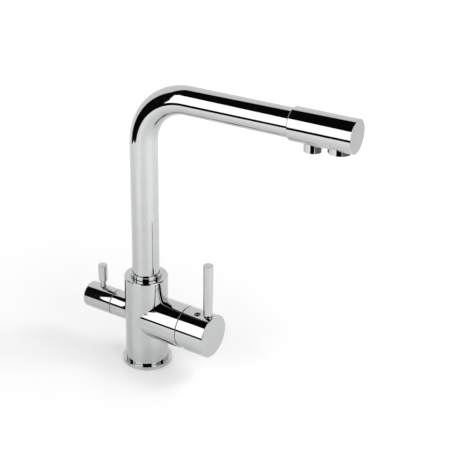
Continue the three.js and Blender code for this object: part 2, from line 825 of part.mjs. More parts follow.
function cartridgeShellSolid() {
  const collar = shellCollar / 2;
  return turned('x', [
    [fixedDiscStart, shellBore / 2],
    [fixedDiscStart, cartridgeDiameter / 2],
    [shellFront, cartridgeDiameter / 2],
    [shellFront, collar],
    [shellFront + shellCollarLength, collar],
    [shellFront + shellCollarLength, rotorNeck / 2 + gap],
    [shellInside, rotorNeck / 2 + gap],
    [shellInside, shellBore / 2],
    [fixedDiscStart, shellBore / 2],
  ], innerSides);
}

// Turns with the lever: a flange with the carrier's channel, and a neck with the stem's slot.
function rotorSolid() {
  const end = pivotPlace + rotorReach;
  const neck = rotorNeck / 2;
  const ringPlace = shellInside + shellWallThickness / 2;
  const halfGroove = rotorRingThickness / 2 + gap;
  const floor = carrierPlateEnd + carrierBossLength + gap;
  const half = stemSize / 2 + stemPlay;
  const bossHalf = carrierBoss / 2 + gap;
  const channel = rotorChannel / 2;
  const pinHole = pivotDiameter + 2 * gap;
  const slot = (from, to, height) => block([from, -half, -height / 2], [to, half, height / 2]);
  return turned('x', [
    [rotorStart, 0],
    [rotorStart, rotorFlange / 2],
    [rotorFlangeEnd, rotorFlange / 2],
    [rotorFlangeEnd, neck],
    [ringPlace - halfGroove, neck],
    [ringPlace - halfGroove, neck - rotorRingThickness],
    [ringPlace + halfGroove, neck - rotorRingThickness],
    [ringPlace + halfGroove, neck],
    [end, neck],
    [end, 0],
  ], innerSides)
    .subtract(block([rotorStart - cutOver, -bossHalf, -channel], [floor, bossHalf, channel]))
    .subtract(slot(floor - cutOver, rotorFlangeEnd, tiltSlotInner))
    .subtract(slot(rotorFlangeEnd - cutOver, pivotPlace, tiltSlotMiddle))
    .subtract(slot(pivotPlace - cutOver, end + cutOver, tiltSlotOuter))
    .subtract(bar([pivotPlace, -neck - cutOver, 0], [pivotPlace, neck + cutOver, 0], pinHole));
}

function rotorSeal() {
  const groove = rotorNeck / 2 - rotorRingThickness;
  return sealRing('x', shellInside + shellWallThickness / 2, groove, rotorRingThickness);
}

function pivotPinSolid() {
  const half = rotorNeck / 2 - 3 * gap;
  return bar([pivotPlace, -half, 0], [pivotPlace, half, 0], pivotDiameter);
}

// The stem: a ball in the carrier, a neck, a flat part on the pin and a square end in the cap.
function stemSolid() {
  const ball = pivotPlace - stemArm;
  const flatStart = ball + stemNeckLength;
  const half = stemSize / 2;
  const sphere = new THREE.SphereGeometry(stemBall / 2, 12, 8).translate(ball, 0, 0);
  return solid(sphere)
    .add(bar([ball, 0, 0], [flatStart + joinIn, 0, 0], stemNeck))
    .add(block([flatStart, -half, -stemDepth / 2], [pivotPlace + joinIn, half, stemDepth / 2]))
    .add(block([pivotPlace, -half, -half], [pivotPlace + stemReach, half, half]))
    .subtract(bar([pivotPlace, -stemSize, 0], [pivotPlace, stemSize, 0], pivotDiameter + 2 * gap));
}

function nutSolid() {
  const nut = ring('x', nutStart, bossReach, nutBore, nutDiameter);
  const half = nutSlot / 2;
  const floor = bossReach - nutSlotDepth;
  const across = block([floor, -nutDiameter, -half], [bossReach + cutOver, nutDiameter, half]);
  const upright = block([floor, -half, -nutDiameter], [bossReach + cutOver, half, nutDiameter]);
  return nut.subtract(across).subtract(upright);
}

// A ball-shaped ring round the tilting pin, which fills the cap's mouth however it tilts.
function domeSolid() {
  const start = bossReach + gap;
  const flangeBore = shellCollar / 2 + gap;
  const outer = domeDiameter / 2;
  const inner = outer - domeWall;
  const at = (radius, along) => [along, Math.sqrt(radius ** 2 - (along - pivotPlace) ** 2)];
  const steps = 2 * roundSteps;
  const front = pivotPlace + domeReach;
  const arc = (radius, from, to) => (
    Array.from({ length: steps + 1 }, (_, i) => at(radius, from + ((to - from) * i) / steps)));
  return turned('x', [
    [start, flangeBore],
    ...arc(outer, start, front),
    ...arc(inner, front, start + domeWall),
    [start + domeWall, flangeBore],
    [start, flangeBore],
  ]);
}

// The relief in the cap's lower back edge, which lets the cap tilt: a shallow wedge, then a notch.
function capRelief() {
  const low = -capDiameter;
  const notch = capStart + reliefDepth;
  const shoulder = -reliefShoulderDrop;
  const outline = new THREE.Shape()
    .moveTo(capStart - cutOver, -reliefWedgeDrop)
    .lineTo(capStart, -reliefWedgeDrop)
    .lineTo(capStart + reliefWedgeDepth, -reliefCornerDrop)
    .lineTo(notch - reliefRound, shoulder)
    .absarc(notch - reliefRound, shoulder - reliefRound, reliefRound, Math.PI / 2, 0, true)
    .lineTo(notch, low)
    .lineTo(capStart - cutOver, low);
  const depth = 2 * capDiameter;
  const prism = new THREE.ExtrudeGeometry(outline, { depth, bevelEnabled: false, curveSegments: 4 });
  return solid(prism.translate(0, 0, -capDiameter).rotateX(Math.PI / 2));
}

// A direction in the cap's cross-section that leans to the front by the screw's angle.
function leaning(place, radius) {
  const angle = THREE.MathUtils.degToRad(mixerScrewLean);
  return [place, -radius * Math.sin(angle), radius * Math.cos(angle)];
}

function mixerCapSolid() {
  const outer = capDiameter / 2;
  const inside = capEnd - capFace;
  const hub = hubDiameter / 2;
  const hubEdge = pivotPlace + hubStart;
  const stem = stemSize / 2 + gap;
  const stemEnd = pivotPlace + stemReach + gap;
  const bossTop = outer - capWall / 2;
  return turned('x', [
    [hubEdge, 0],
    [hubEdge, hub],
    [inside, hub],
    [inside, capBore / 2],
    [capStart, capBore / 2],
    [capStart, outer - edge],
    [capStart + edge, outer],
    ...rounded(capEnd - capRound, outer - capRound, capRound, 0, 90),
    [capEnd, 0],
  ])
    .add(bar([leverPlace, 0, hub - joinIn], [leverPlace, 0, bossTop], leverBoss))
    .add(bar(leaning(mixerScrewPlace, hub - 2 * joinIn), leaning(mixerScrewPlace, bossTop), mixerScrewBoss))
    .subtract(block([hubEdge - cutOver, -stem, -stem], [stemEnd, stem, stem]))
    .subtract(bar([leverPlace, 0, outer - leverStudLength - gap], [leverPlace, 0, outer + cutOver],
      leverStud + 2 * gap))
    .subtract(bar(leaning(mixerScrewPlace, stem), leaning(mixerScrewPlace, outer + cutOver),
      mixerScrewDiameter + 2 * gap))
    .subtract(capRelief());
}

function mixerLeverSolid() {
  const foot = capDiameter / 2 + gap;
  const footRadius = leverFootDiameter / 2;
  const topRadius = leverTopDiameter / 2;
  return turned('z', [
    [foot - leverStudLength, 0],
    [foot - leverStudLength, leverStud / 2],
    [foot, leverStud / 2],
    [foot, footRadius - edge],
    [foot + edge, footRadius],
    [leverTop - edge, topRadius],
    [leverTop, topRadius - edge],
    [leverTop, 0],
  ], innerSides).translate([leverPlace, 0, 0]);
}

// The set screw on the stem, leaning to the front, with a six-sided socket.
function mixerScrewSolid() {
  const foot = stemSize / 2 + 3 * gap;
  const top = foot + mixerScrewLength;
  const shank = bar(leaning(mixerScrewPlace, foot), leaning(mixerScrewPlace, top), mixerScrewDiameter);
  const socket = [leaning(mixerScrewPlace, top - keySocketDepth), leaning(mixerScrewPlace, top + cutOver)];
  return shank.subtract(bar(...socket, mixerScrewDiameter / 2, hexSides));
}

// ---------------------------------------------------------------- filter valve, its own +X outward

function seatWasherSolid() {
  const start = filterCavityFloor + gap;
  return ring('x', start, start + seatWasherThickness, seatWasherBore, filterCavityDiameter - 2 * gap);
}

function valveBodySolid() {
  const outer = filterCavityDiameter / 2 - gap;
  const halfGroove = oRingGrooveWidth / 2 - 0.2;
  const grooveDepth = oRingThickness;
  const window = bar([valveWindowPlace, 0, -outer], [valveWindowPlace, 0, outer], valveWindow);
  return turned('x', [
    [valveStart, seatWasherBore / 2],
    [valveStart, outer],
    [valveORingPlace - halfGroove, outer],
    [valveORingPlace - halfGroove, outer - grooveDepth],
    [valveORingPlace + halfGroove, outer - grooveDepth],
    [valveORingPlace + halfGroove, outer],
    [valveFlangeStart, outer],
    [valveFlangeStart, valveFlange / 2],
    [valveFlangeEnd, valveFlange / 2],
    [valveFlangeEnd, valveNeck / 2],
    [valveNeckEnd, valveNeck / 2],
    [valveNeckEnd, spindleBore / 2],
    [valveBoreEnd, spindleBore / 2],
    [valveBoreEnd, valveBodyBore / 2],
    [valveStart + valveSeatLip, valveBodyBore / 2],
    [valveStart + valveSeatLip, seatWasherBore / 2],
    [valveStart, seatWasherBore / 2],
  ], innerSides).subtract(window);
}

function valveSeal() {
  const groove = filterCavityDiameter / 2 - gap - oRingThickness;
  return sealRing('x', valveORingPlace, groove, oRingThickness - gap);
}

// A ceramic disc with two ports on opposite sides of its centre, along Y or along Z.
function filterDisc(start, [y, z]) {
  const end = start + filterDiscThickness;
  const port = (side) => bar(
    [start - cutOver, side * y * filterDiscPorts, side * z * filterDiscPorts],
    [end + cutOver, side * y * filterDiscPorts, side * z * filterDiscPorts],
    filterDiscPortDiameter);
  const disc = bar([start, 0, 0], [end, 0, 0], filterDiscDiameter, innerSides);
  return disc.subtract(port(1)).subtract(port(-1));
}

function filterMovingDiscSolid() {
  const half = spindleBlade / 2 + gap;
  const reach = filterDiscDiameter;
  return filterDisc(filterMovingStart, [1, 0])
    .subtract(block([filterMovingEnd - bladeDepth, -half, -reach], [valveBoreEnd, half, reach]));
}

// The spindle: a blade in the moving disc's slot, a stub, a flange and the shaft for the cap.
function spindleSolid() {
  const shaft = spindleDiameter / 2;
  const flange = valveBodyBore / 2 - gap;
  const bladeStart = filterMovingEnd - bladeDepth + gap;
  const stubStart = filterMovingEnd + gap;
  const flangeStart = valveBoreEnd - gap - spindleFlangeThickness;
  const ringPlace = (valveFlangeStart + valveFlangeEnd) / 2;
  const halfRing = spindleRingThickness / 2 + gap;
  const clipStart = valveNeckEnd + gap;
  const clipEnd = clipStart + circlipThickness + 2 * gap;
  const bladeHalf = filterDiscDiameter / 2 - 4 * gap;
  const blade = block(
    [bladeStart, -spindleBlade / 2, -bladeHalf], [stubStart + joinIn, spindleBlade / 2, bladeHalf]);
  return turned('x', [
    [stubStart, 0],
    [stubStart, spindleStub / 2],
    [flangeStart, spindleStub / 2],
    [flangeStart, flange],
    [flangeStart + spindleFlangeThickness, flange],
    [flangeStart + spindleFlangeThickness, shaft],
    [ringPlace - halfRing, shaft],
    [ringPlace - halfRing, shaft - spindleRingThickness],
    [ringPlace + halfRing, shaft - spindleRingThickness],
    [ringPlace + halfRing, shaft],
    [clipStart, shaft],
    [clipStart, shaft - circlipGroove],
    [clipEnd, shaft - circlipGroove],
    [clipEnd, shaft],
    [spindleEnd, shaft],
    [spindleEnd, 0],
  ], innerSides).add(blade);
}

function spindleSeal() {
  const place = (valveFlangeStart + valveFlangeEnd) / 2;
  const groove = spindleDiameter / 2 - spindleRingThickness;
  return sealRing('x', place, groove, spindleRingThickness, innerSides);
}

// An open spring ring in the spindle's groove, outside the valve's neck.
function circlipSolid() {
  const start = valveNeckEnd + 2 * gap;
  const end = start + circlipThickness;
  const bore = spindleDiameter - 2 * circlipGroove + 2 * gap;
  const half = circlipMouth / 2;
  return ring('x', start, end, bore, circlipDiameter, smallSides)
    .subtract(block([start - cutOver, -half, 0], [end + cutOver, half, circlipDiameter]));
}

function filterCapSolid() {
  const outer = filterCapDiameter / 2;
  const inside = filterCapEnd - filterCapFace;
  const hub = filterHubDiameter / 2;
  const stud = outer - filterLeverStudLength;
  const bossEnd = outer - filterCapWall / 2;
  const studHole = filterLeverStud + 2 * gap;
  const screwHole = filterScrewDiameter + 2 * gap;
  return turned('x', [
    [filterHubStart, 0],
    [filterHubStart, hub],
    [inside, hub],
    [inside, filterCapBore / 2],
    [filterCapStart, filterCapBore / 2],
    [filterCapStart, outer - edge],
    [filterCapStart + edge, outer],
    ...rounded(filterCapEnd - filterCapRound, outer - filterCapRound, filterCapRound, 0, 90),
    [filterCapEnd, 0],
  ])
    .add(bar([filterLeverPlace, 0, hub - joinIn], [filterLeverPlace, 0, bossEnd], filterLeverBoss))
    .add(bar([filterScrewPlace, 0, joinIn - hub], [filterScrewPlace, 0, -bossEnd], filterLeverBoss))
    .subtract(bar([filterHubStart - cutOver, 0, 0], [spindleEnd + gap, 0, 0], spindleBore))
    .subtract(bar([filterLeverPlace, 0, stud], [filterLeverPlace, 0, outer + cutOver], studHole))
    .subtract(bar([filterScrewPlace, 0, 0], [filterScrewPlace, 0, -outer - cutOver], screwHole));
}

function filterLeverSolid() {
  const foot = filterCapDiameter / 2 + gap;
  const barrel = leverFootDiameter / 2;
  const topRadius = leverTopDiameter / 2;
  return turned('z', [
    [foot - filterLeverStudLength + gap, 0],
    [foot - filterLeverStudLength + gap, filterLeverStud / 2],
    [foot, filterLeverStud / 2],
    [foot, filterLeverNeck / 2],
    [filterLeverNeckTop, filterLeverNeck / 2],
    [filterLeverNeckTop + filterLeverShoulder, barrel],
    [filterLeverTop - edge, topRadius],
    [filterLeverTop, topRadius - edge],
    [filterLeverTop, 0],
  ], innerSides).translate([filterLeverPlace, 0, 0]);
}

// The set screw of the filter cap, from below.
function filterScrewSolid() {
  const foot = -spindleDiameter / 2 - gap;
  const end = foot - filterScrewLength;
  const shank = bar([filterScrewPlace, 0, foot], [filterScrewPlace, 0, end], filterScrewDiameter);
  const socket = [[filterScrewPlace, 0, end + keySocketDepth], [filterScrewPlace, 0, end - cutOver]];
  return shank.subtract(bar(...socket, filterScrewDiameter / 2, hexSides));
}

// ---------------------------------------------------------------- assembly

function spoutGroup() {
  const group = new THREE.Group();
  group.rotation.z = THREE.MathUtils.degToRad(spoutTurn);
  group.add(
    piece('spout_tube', tubeSolid(), chrome),
    piece('spout_collar', collarSolid(), chrome),
    piece('spout_nipple', nippleSolid(), brass),
    piece('spout_o_ring_lower', nippleSeal(lowerORing), rubber),
    piece('spout_o_ring_upper', nippleSeal(upperORing), rubber),
    piece('spout_glide_lower', glideRing(lowerGlide), plastic),
    piece('spout_glide_upper', glideRing(upperGlide), plastic),
    piece('filtered_water_tube', filterTubeSolid(), plastic),
    piece('tube_fitting', fittingSolid(), brass),
    piece('tube_fitting_o_ring', fittingSeal(), rubber),
    piece('spout_head', headSolid(), chrome),
    piece('head_o_ring', headSeal(), rubber),
    outletGroup(mixedOutletPlace, [
      piece('aerator_shell', outletShell(mixedOutlet), chrome),
      piece('aerator_insert', outletInsert(mixedOutlet), plastic),
      piece('aerator_washer', outletWasher(mixedOutlet), rubber),
    ]),
    outletGroup(filterOutletPlace, [
      piece('filter_outlet_shell', outletShell(filterOutlet), chrome),
      piece('filter_outlet_insert', outletInsert(filterOutlet), plastic),
      piece('filter_outlet_washer', outletWasher(filterOutlet), rubber),
    ]),
  );
  return group;
}

function outletGroup(place, pieces) {
  const group = new THREE.Group();
  group.position.set(place, 0, spoutHeight);
  group.add(...pieces);
  return group;
}

function mixerGroup() {
  const group = new THREE.Group();
  group.position.z = valveHeight;
  group.add(
    piece('cartridge_hot_seal', cartridgeSeal(cartridgePorts[0]), rubber),
    piece('cartridge_cold_seal', cartridgeSeal(cartridgePorts[1]), rubber),
    piece('cartridge_outlet_seal', cartridgeSeal(cartridgePorts[2]), rubber),
    piece('cartridge_base', cartridgeBaseSolid(), plastic),
    piece('cartridge_fixed_disc', fixedDiscSolid(), ceramic),
    piece('cartridge_moving_disc', movingDiscSolid(), ceramic),
    piece('cartridge_disc_carrier', carrierSolid(), plastic),
    piece('cartridge_shell', cartridgeShellSolid(), plastic),
    piece('cartridge_rotor', rotorSolid(), plastic),
    piece('cartridge_rotor_o_ring', rotorSeal(), rubber),
    piece('cartridge_pivot_pin', pivotPinSolid(), steel),
    piece('cartridge_stem', stemSolid(), brass),
    piece('cartridge_nut', nutSolid(), brass),
    piece('mixer_dome', domeSolid(), chrome),
    piece('mixer_cap', mixerCapSolid(), chrome),
    piece('mixer_lever', mixerLeverSolid(), chrome),
    piece('mixer_grub_screw', mixerScrewSolid(), steel),
  );
  return group;
}

function filterGroup() {
  const group = new THREE.Group();
  group.position.z = valveHeight;
  group.rotation.z = Math.PI;
  group.add(
    piece('filter_seat_washer', seatWasherSolid(), rubber),
    piece('filter_valve_body', valveBodySolid(), brass),
    piece('filter_valve_o_ring', valveSeal(), rubber),
    piece('filter_fixed_disc', filterDisc(filterFixedStart, [0, 1]), ceramic),
    piece('filter_moving_disc', filterMovingDiscSolid(), ceramic),
    piece('filter_spindle', spindleSolid(), brass),
    piece('filter_spindle_o_ring', spindleSeal(), rubber),
    piece('filter_circlip', circlipSolid(), steel),
    piece('filter_cap', filterCapSolid(), chrome),
    piece('filter_lever', filterLeverSolid(), chrome),
    piece('filter_grub_screw', filterScrewSolid(), steel),
  );
  return group;
}

const tap = new THREE.Group();
tap.add(
  piece('body', bodySolid(), chrome),
  piece('base_flange', flangeSolid(), chrome),
  piece('base_gasket', gasketSolid(), rubber),
  piece('spout_grub_screw', spoutScrewSolid(), steel),
  spoutGroup(),
  mixerGroup(),
  filterGroup(),
);

export default tap;
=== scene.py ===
"""Looks of the three way filtered water tap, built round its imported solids.

The x axis runs along the mixer's boss, z is up, and the body stands on z = 0.
"""

import math

import bpy
from mathutils import Matrix, Vector
from mathutils.geometry import tessellate_polygon


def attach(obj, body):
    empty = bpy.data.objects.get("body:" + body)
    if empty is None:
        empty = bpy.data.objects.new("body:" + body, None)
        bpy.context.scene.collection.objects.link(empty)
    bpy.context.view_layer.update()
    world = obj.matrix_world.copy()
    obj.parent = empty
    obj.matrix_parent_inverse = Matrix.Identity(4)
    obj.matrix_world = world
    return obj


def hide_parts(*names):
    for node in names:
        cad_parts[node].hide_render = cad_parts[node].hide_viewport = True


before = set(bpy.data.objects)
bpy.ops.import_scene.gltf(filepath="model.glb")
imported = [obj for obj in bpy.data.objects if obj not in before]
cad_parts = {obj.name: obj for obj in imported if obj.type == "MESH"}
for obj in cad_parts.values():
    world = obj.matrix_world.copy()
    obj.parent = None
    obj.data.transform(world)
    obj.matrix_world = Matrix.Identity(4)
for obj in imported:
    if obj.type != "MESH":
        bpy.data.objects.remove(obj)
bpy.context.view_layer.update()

MM = 0.001
X = Vector((1, 0, 0))
Z = Vector((0, 0, 1))
QUARTER_TURN = math.pi / 2
HALF_TURN = math.pi
FULL_TURN = 2 * math.pi

# Fineness of the surfaces
BARREL_STEPS = 120                     # faces round a large barrel
SMALL_STEPS = 72                       # faces round small turned pieces
HOLE_STEPS = 18                        # faces round half a drilled hole
ROUND_STEPS = 5                        # faces across a rounded edge
BEND_STEPS = 48                        # stretches of the tube's bend
RELIEF_STEPS = 3                       # stretches of each straight side of the mixer cap's relief
COLUMN_ROOM = 0.45                     # share of a step that stays free beside a wanted angle
MOUTH_STEP = 0.05                      # half the height over which the slope of a mouth is taken
TINY = 1e-4                            # what differs by less counts as the same
NARROWEST = 10 * TINY                  # share of a hole's radius under which its height counts as none

# Body
BODY_RADIUS = 22.5
BODY_TOP = 101
SHOULDER_ROUND = 1.5
SPIGOT_RADIUS = 20
SPIGOT_TOP = 4.5
VALVE_HEIGHT = 55
BOSS_REACH = 50
BOSS_THREAD_RADIUS = 19.7
BOSS_THREAD_LENGTH = 3.5
CARTRIDGE_RADIUS = 17.8
CARTRIDGE_FLOOR = 15.5
FILTER_BOSS_RADIUS = 14
FILTER_BOSS_REACH = 38.4
FILTER_CAVITY_RADIUS = 10
FILTER_CAVITY_FLOOR = 20
SWIVEL_RADIUS = 13.3
SWIVEL_FLOOR = 75
SPOUT_SCREW_HEIGHT = 90
SPOUT_SCREW_RADIUS = 2.5
EDGE = 0.4

# Underside
PORT_RADIUS = 5
PORT_DEPTH = 12
PORT_CIRCLE = 11.8
HOT_PORT_ANGLE = 60                    # the cold port is its mirror image
FILTERED_PORT_ANGLE = 180
WATERWAY_RADIUS = 4
WATERWAY_DEPTH = 30
STUD_HOLE_RADIUS = 3.4
STUD_HOLE_DEPTH = 18
STUD_HOLE_PLACE = 15

# Flange and collar
FLANGE_RADIUS = 26
FLANGE_BORE = 20.3
FLANGE_TOP = 4.2
GASKET_INNER = 21.4
GASKET_OUTER = 24.4
GASKET_DEPTH = 2.2
COLLAR_RADIUS = 16
COLLAR_BORE = 14.3
COLLAR_FOOT = 101.3
COLLAR_TOP = 105.4
COLLAR_ROUND = 1.2

# Spout, in its own frame, which is turned from the mixer's boss
SPOUT_TURN = 3.3
SPOUT_HEIGHT = 299
TUBE_RADIUS = 14
TUBE_BORE = 12.7
BEND_RADIUS = 51
TUBE_END = 168
HEAD_RADIUS = 16
HEAD_START = 158.5
HEAD_END = 220
HEAD_BEVEL = 0.8
HEAD_BORE = 14.3
HEAD_BORE_END = 168.3
SLEEVE_RADIUS = 12.4
SLEEVE_START = 150.5
CHAMBER_RADIUS = 8.5
CHAMBER_END = 213

# Outlets: place along the spout, then heights below its axis
MIXED_PLACE = 204.5
MIXED_HOLE_RADIUS = 11.3
MIXED_SEAT = 9
MIXED_RADIUS = 11
MIXED_BORE = 9.6
MIXED_LIP = 8.8
MIXED_DROP = 17.8
FILTERED_PLACE = 178.6
FILTERED_HOLE_RADIUS = 9
FILTERED_SEAT = 12
FILTERED_RADIUS = 8.7
FILTERED_BORE = 7.3
FILTERED_LIP = 6.5
FILTERED_DROP = 22
LIP_HEIGHT = 1.5
GAP = 0.3

# Mixer's dome, cap and lever
DOME_RADIUS = 20.9
DOME_WALL = 1.6
DOME_START = 50.3
DOME_END = 60.5
DOME_OPENING = 12.8
CAP_RADIUS = 22.5
CAP_BORE = 21.2
CAP_START = 51
CAP_END = 83
CAP_FACE = 3
CAP_ROUND = 1
CAP_HUB_RADIUS = 9
CAP_HUB_START = 61
LEVER_PLACE = 76
LEVER_HOLE_RADIUS = 3.3
LEVER_HOLE_FLOOR = 12
LEVER_BOSS_RADIUS = 5.5
LEVER_STUD_RADIUS = 3
LEVER_STUD_FOOT = 12.3
LEVER_FOOT = 22.8
LEVER_FOOT_RADIUS = 4.7
LEVER_TOP = 79.5
LEVER_TOP_RADIUS = 5
SCREW_PLACE = 66
SCREW_LEAN = 10
SCREW_HOLE_RADIUS = 3.3
SCREW_HOLE_FLOOR = 5
SCREW_BOSS_RADIUS = 4.8
RELIEF_TOP = 2                         # relief at the cap's lower back edge, below the axis
RELIEF_CORNER = 8
RELIEF_SHOULDER = 8.9
RELIEF_WEDGE = 2.3
RELIEF_DEPTH = 8.2
RELIEF_ROUND = 3.2

# Filter valve's cap and lever
FILTER_CAP_RADIUS = 14
FILTER_CAP_BORE = 12.6
FILTER_CAP_START = 39
FILTER_CAP_END = 74
FILTER_CAP_FACE = 3
FILTER_CAP_ROUND = 2
FILTER_HUB_RADIUS = 6.5
FILTER_HUB_START = 50
FILTER_LEVER_PLACE = 56.5
FILTER_LEVER_HOLE_RADIUS = 2.6
FILTER_LEVER_HOLE_FLOOR = 6.3
FILTER_LEVER_BOSS_RADIUS = 4.5
FILTER_LEVER_STUD_RADIUS = 2.3
FILTER_LEVER_STUD_FOOT = 6.6
FILTER_NECK_RADIUS = 3
FILTER_NECK_FOOT = 14.3
FILTER_NECK_TOP = 20.4
FILTER_SHOULDER_TOP = 21.7
FILTER_SHOULDER_RADIUS = 4.7
FILTER_LEVER_TOP = 39.5
FILTER_LEVER_TOP_RADIUS = 5
FILTER_SCREW_PLACE = 60
FILTER_SCREW_RADIUS = 2
FILTER_SCREW_FLOOR = 5


class Skin:
    """A closed surface whose faces carry the exact normal at each of their corners."""

    KEY_SCALE = 1e4                    # corners closer than this share one vertex
    KEY_SHIFT = 0.2871                 # keeps round sizes away from the limits of the keys

    def __init__(self):
        self.points = []
        self.keys = {}
        self.faces = []
        self.normals = []

    def index(self, point):
        key = tuple(round(value * self.KEY_SCALE + self.KEY_SHIFT) for value in point)
        if key not in self.keys:
            self.keys[key] = len(self.points)
            self.points.append(point)
        return self.keys[key]

    def face(self, corners):
        """Adds a face from (point, normal) pairs, turned so that it faces the way its normals do."""
        kept = []
        for point, normal in corners:
            index = self.index(point)
            if index not in [k for k, _ in kept]:
                kept.append((index, normal))
        if len(kept) < 3:
            return
        across = Vector()
        for (first, _), (second, _) in zip(kept, kept[1:] + kept[:1]):
            across += self.points[first].cross(self.points[second])
        if across.dot(sum((normal for _, normal in kept), Vector())) < 0:
            kept.reverse()
        self.faces.append([index for index, _ in kept])
        self.normals.extend(normal for _, normal in kept)

    def finish(self, name, material, slot, body, node):
        """Makes the piece, which replaces a CAD node and rides on its body."""
        mesh = bpy.data.meshes.new(name)
        mesh.from_pydata([point * MM for point in self.points], [], self.faces)
        mesh.polygons.foreach_set("use_smooth", [True] * len(self.faces))
        mesh.normals_split_custom_set(self.normals)
        mesh.materials.append(material)
        piece = bpy.data.objects.new(name, mesh)
        bpy.context.scene.collection.objects.link(piece)
        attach(piece, body)
        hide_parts(node)
        return piece


class Axis:
    """A line to turn things about. Angle 0 points along side."""

    def __init__(self, origin, along, side):
        self.origin = Vector(origin)
        self.along = along
        self.side = side
        self.third = along.cross(side)

    def out(self, angle):
        return self.side * math.cos(angle) + self.third * math.sin(angle)

    def at(self, place, radius, angle):
        return self.origin + self.along * place + self.out(angle) * radius

    def across(self, place, turn):
        """The axis of a round hole or boss that meets this one square, at a place and an angle."""
        return Axis(self.at(place, 0, 0), self.out(turn), self.along.cross(self.out(turn)))


class Hole:
    """A round hole through a barrel, or the foot of a boss on it."""

    def __init__(self, trunk, place, turn, radius):
        self.place = place
        self.turn = turn
        self.radius = radius
        self.axis = trunk.across(place, turn)

    def columns(self, barrel_radius):
        """Angles round the barrel of the corners that a hole of evenly spaced corners has."""
        steps = [HALF_TURN * step / HOLE_STEPS for step in range(HOLE_STEPS + 1)]
        return [self.turn + math.asin(self.radius * math.cos(step) / barrel_radius) for step in steps]

    def spans(self, barrel_radius, angle):
        """Half the height of the hole at an angle round the barrel, or None beside it."""
        aside = barrel_radius * math.sin(angle - self.turn)
        if math.cos(angle - self.turn) < -TINY or abs(aside) > self.radius + TINY:
            return None
        half = math.sqrt(max(0, self.radius ** 2 - aside ** 2))
        return half if half > self.radius * NARROWEST else 0

    def rim_angle(self, barrel_radius, angle):
        aside = barrel_radius * math.sin(angle - self.turn)
        return math.acos(max(-1, min(1, aside / self.radius)))

    def surface(self, barrel_radius):
        """Distance along the hole's axis to the barrel's surface, at an angle round the hole."""
        return lambda angle: math.sqrt(max(0, barrel_radius ** 2 - (self.radius * math.cos(angle)) ** 2))


def even_angles(count):
    return [FULL_TURN * step / count - HALF_TURN for step in range(count)]


def wrapped(angle):
    return (angle + HALF_TURN) % FULL_TURN - HALF_TURN


def column_angles(count, wanted):
    """Evenly spaced angles, with those near a wanted one left out and the wanted ones put in."""
    kept = []
    for angle in sorted(wrapped(angle) for angle in wanted):
        if not kept or angle - kept[-1] > TINY:
            kept.append(angle)
    room = COLUMN_ROOM * FULL_TURN / count
    spare = [angle for angle in even_angles(count)
             if all(abs(wrapped(angle - other)) > room for other in kept)]
    return sorted(kept + spare)


def level(value):
    """A height as a function of the angle, whether it is a number or a function already."""
    return value if callable(value) else lambda angle: value


def barrel(skin, axis, radius, columns, low, high, facing, holes=()):
    """A cylinder's wall from low to high, cut by round holes. It faces out where facing is 1, and in where
    it is -1. Returns each hole with the angles round its rim."""
    low = level(low)
    high = level(high)
    holes = sorted(holes, key=lambda hole: hole.place)
    halves = [[hole.spans(radius, angle) for hole in holes] for angle in columns]

    def side(column, start, end):
        """Corners up a column between two heights, with the corners of narrow ends of holes."""
        angle = columns[column]
        places = [start, end]
        for hole, half in zip(holes, halves[column]):
            if half is not None:
                places += [place for place in (hole.place - half, hole.place + half)
                           if start + TINY < place < end - TINY]
        normal = axis.out(angle) * facing
        return [(axis.at(place, radius, angle), normal) for place in sorted(set(places))]

    for left in range(len(columns)):
        right = (left + 1) % len(columns)
        shared = [index for index in range(len(holes))
                  if halves[left][index] is not None and halves[right][index] is not None]
        starts = [[low(columns[c])] + [holes[h].place + halves[c][h] for h in shared] for c in (left, right)]
        ends = [[holes[h].place - halves[c][h] for h in shared] + [high(columns[c])] for c in (left, right)]
        for start, end, start_right, end_right in zip(starts[0], ends[0], starts[1], ends[1]):
            skin.face(side(left, start, end) + side(right, start_right, end_right)[::-1])

    rims = []
    for hole in holes:
        rim = set()
        for angle in columns:
            half = hole.spans(radius, angle)
            if half is not None:
                turn = hole.rim_angle(radius, angle)
                rim |= {turn, wrapped(-turn)} if half else {wrapped(turn)}
        rims.append((hole, sorted(rim)))
    return rims


def outline(points):
    """Stretches of a turned outline from (place, radius) or (place, radius, rounding) points.
    The material lies on the right of the way it runs, seen with the axis to the right and radius up."""
    corners = [(Vector(point[:2]), point[2] if len(point) > 2 else 0) for point in points]
    stretches = []
    last = corners[0][0]
    for number in range(1, len(corners)):
        corner, rounding = corners[number]
        way = (corner - corners[number - 1][0]).normalized()
        normal = Vector((-way.y, way.x))
        if number + 1 == len(corners) or not rounding:
            arc = []
            end = corner
        else:
            next_way = (corners[number + 1][0] - corner).normalized()
            next_normal = Vector((-next_way.y, next_way.x))
            turn = way.angle_signed(next_way)
            end = corner - way * rounding * math.tan(abs(turn) / 2)
            bulge = 1 if turn > 0 else -1
            centre = end - normal * rounding * bulge
            arc = []
            for step in range(ROUND_STEPS + 1):
                direction = normal.slerp(next_normal, step / ROUND_STEPS)
                arc.append((centre + direction * rounding * bulge, direction))
        if (end - last).length > TINY:
            stretches.append([(last, normal), (end, normal)])
        if arc:
            stretches.append(arc)
            end = arc[-1][0]
        last = end
    return stretches


def turned(skin, axis, stretches, columns):
    """Turns each stretch of an outline about the axis."""
    for stretch in stretches:
        for (first, first_normal), (second, second_normal) in zip(stretch, stretch[1:]):
            for left, right in zip(columns, columns[1:] + columns[:1]):
                skin.face([(axis.at(first.x, first.y, left), slanted(axis, first_normal, left)),
                           (axis.at(first.x, first.y, right), slanted(axis, first_normal, right)),
                           (axis.at(second.x, second.y, right), slanted(axis, second_normal, right)),
                           (axis.at(second.x, second.y, left), slanted(axis, second_normal, left))])


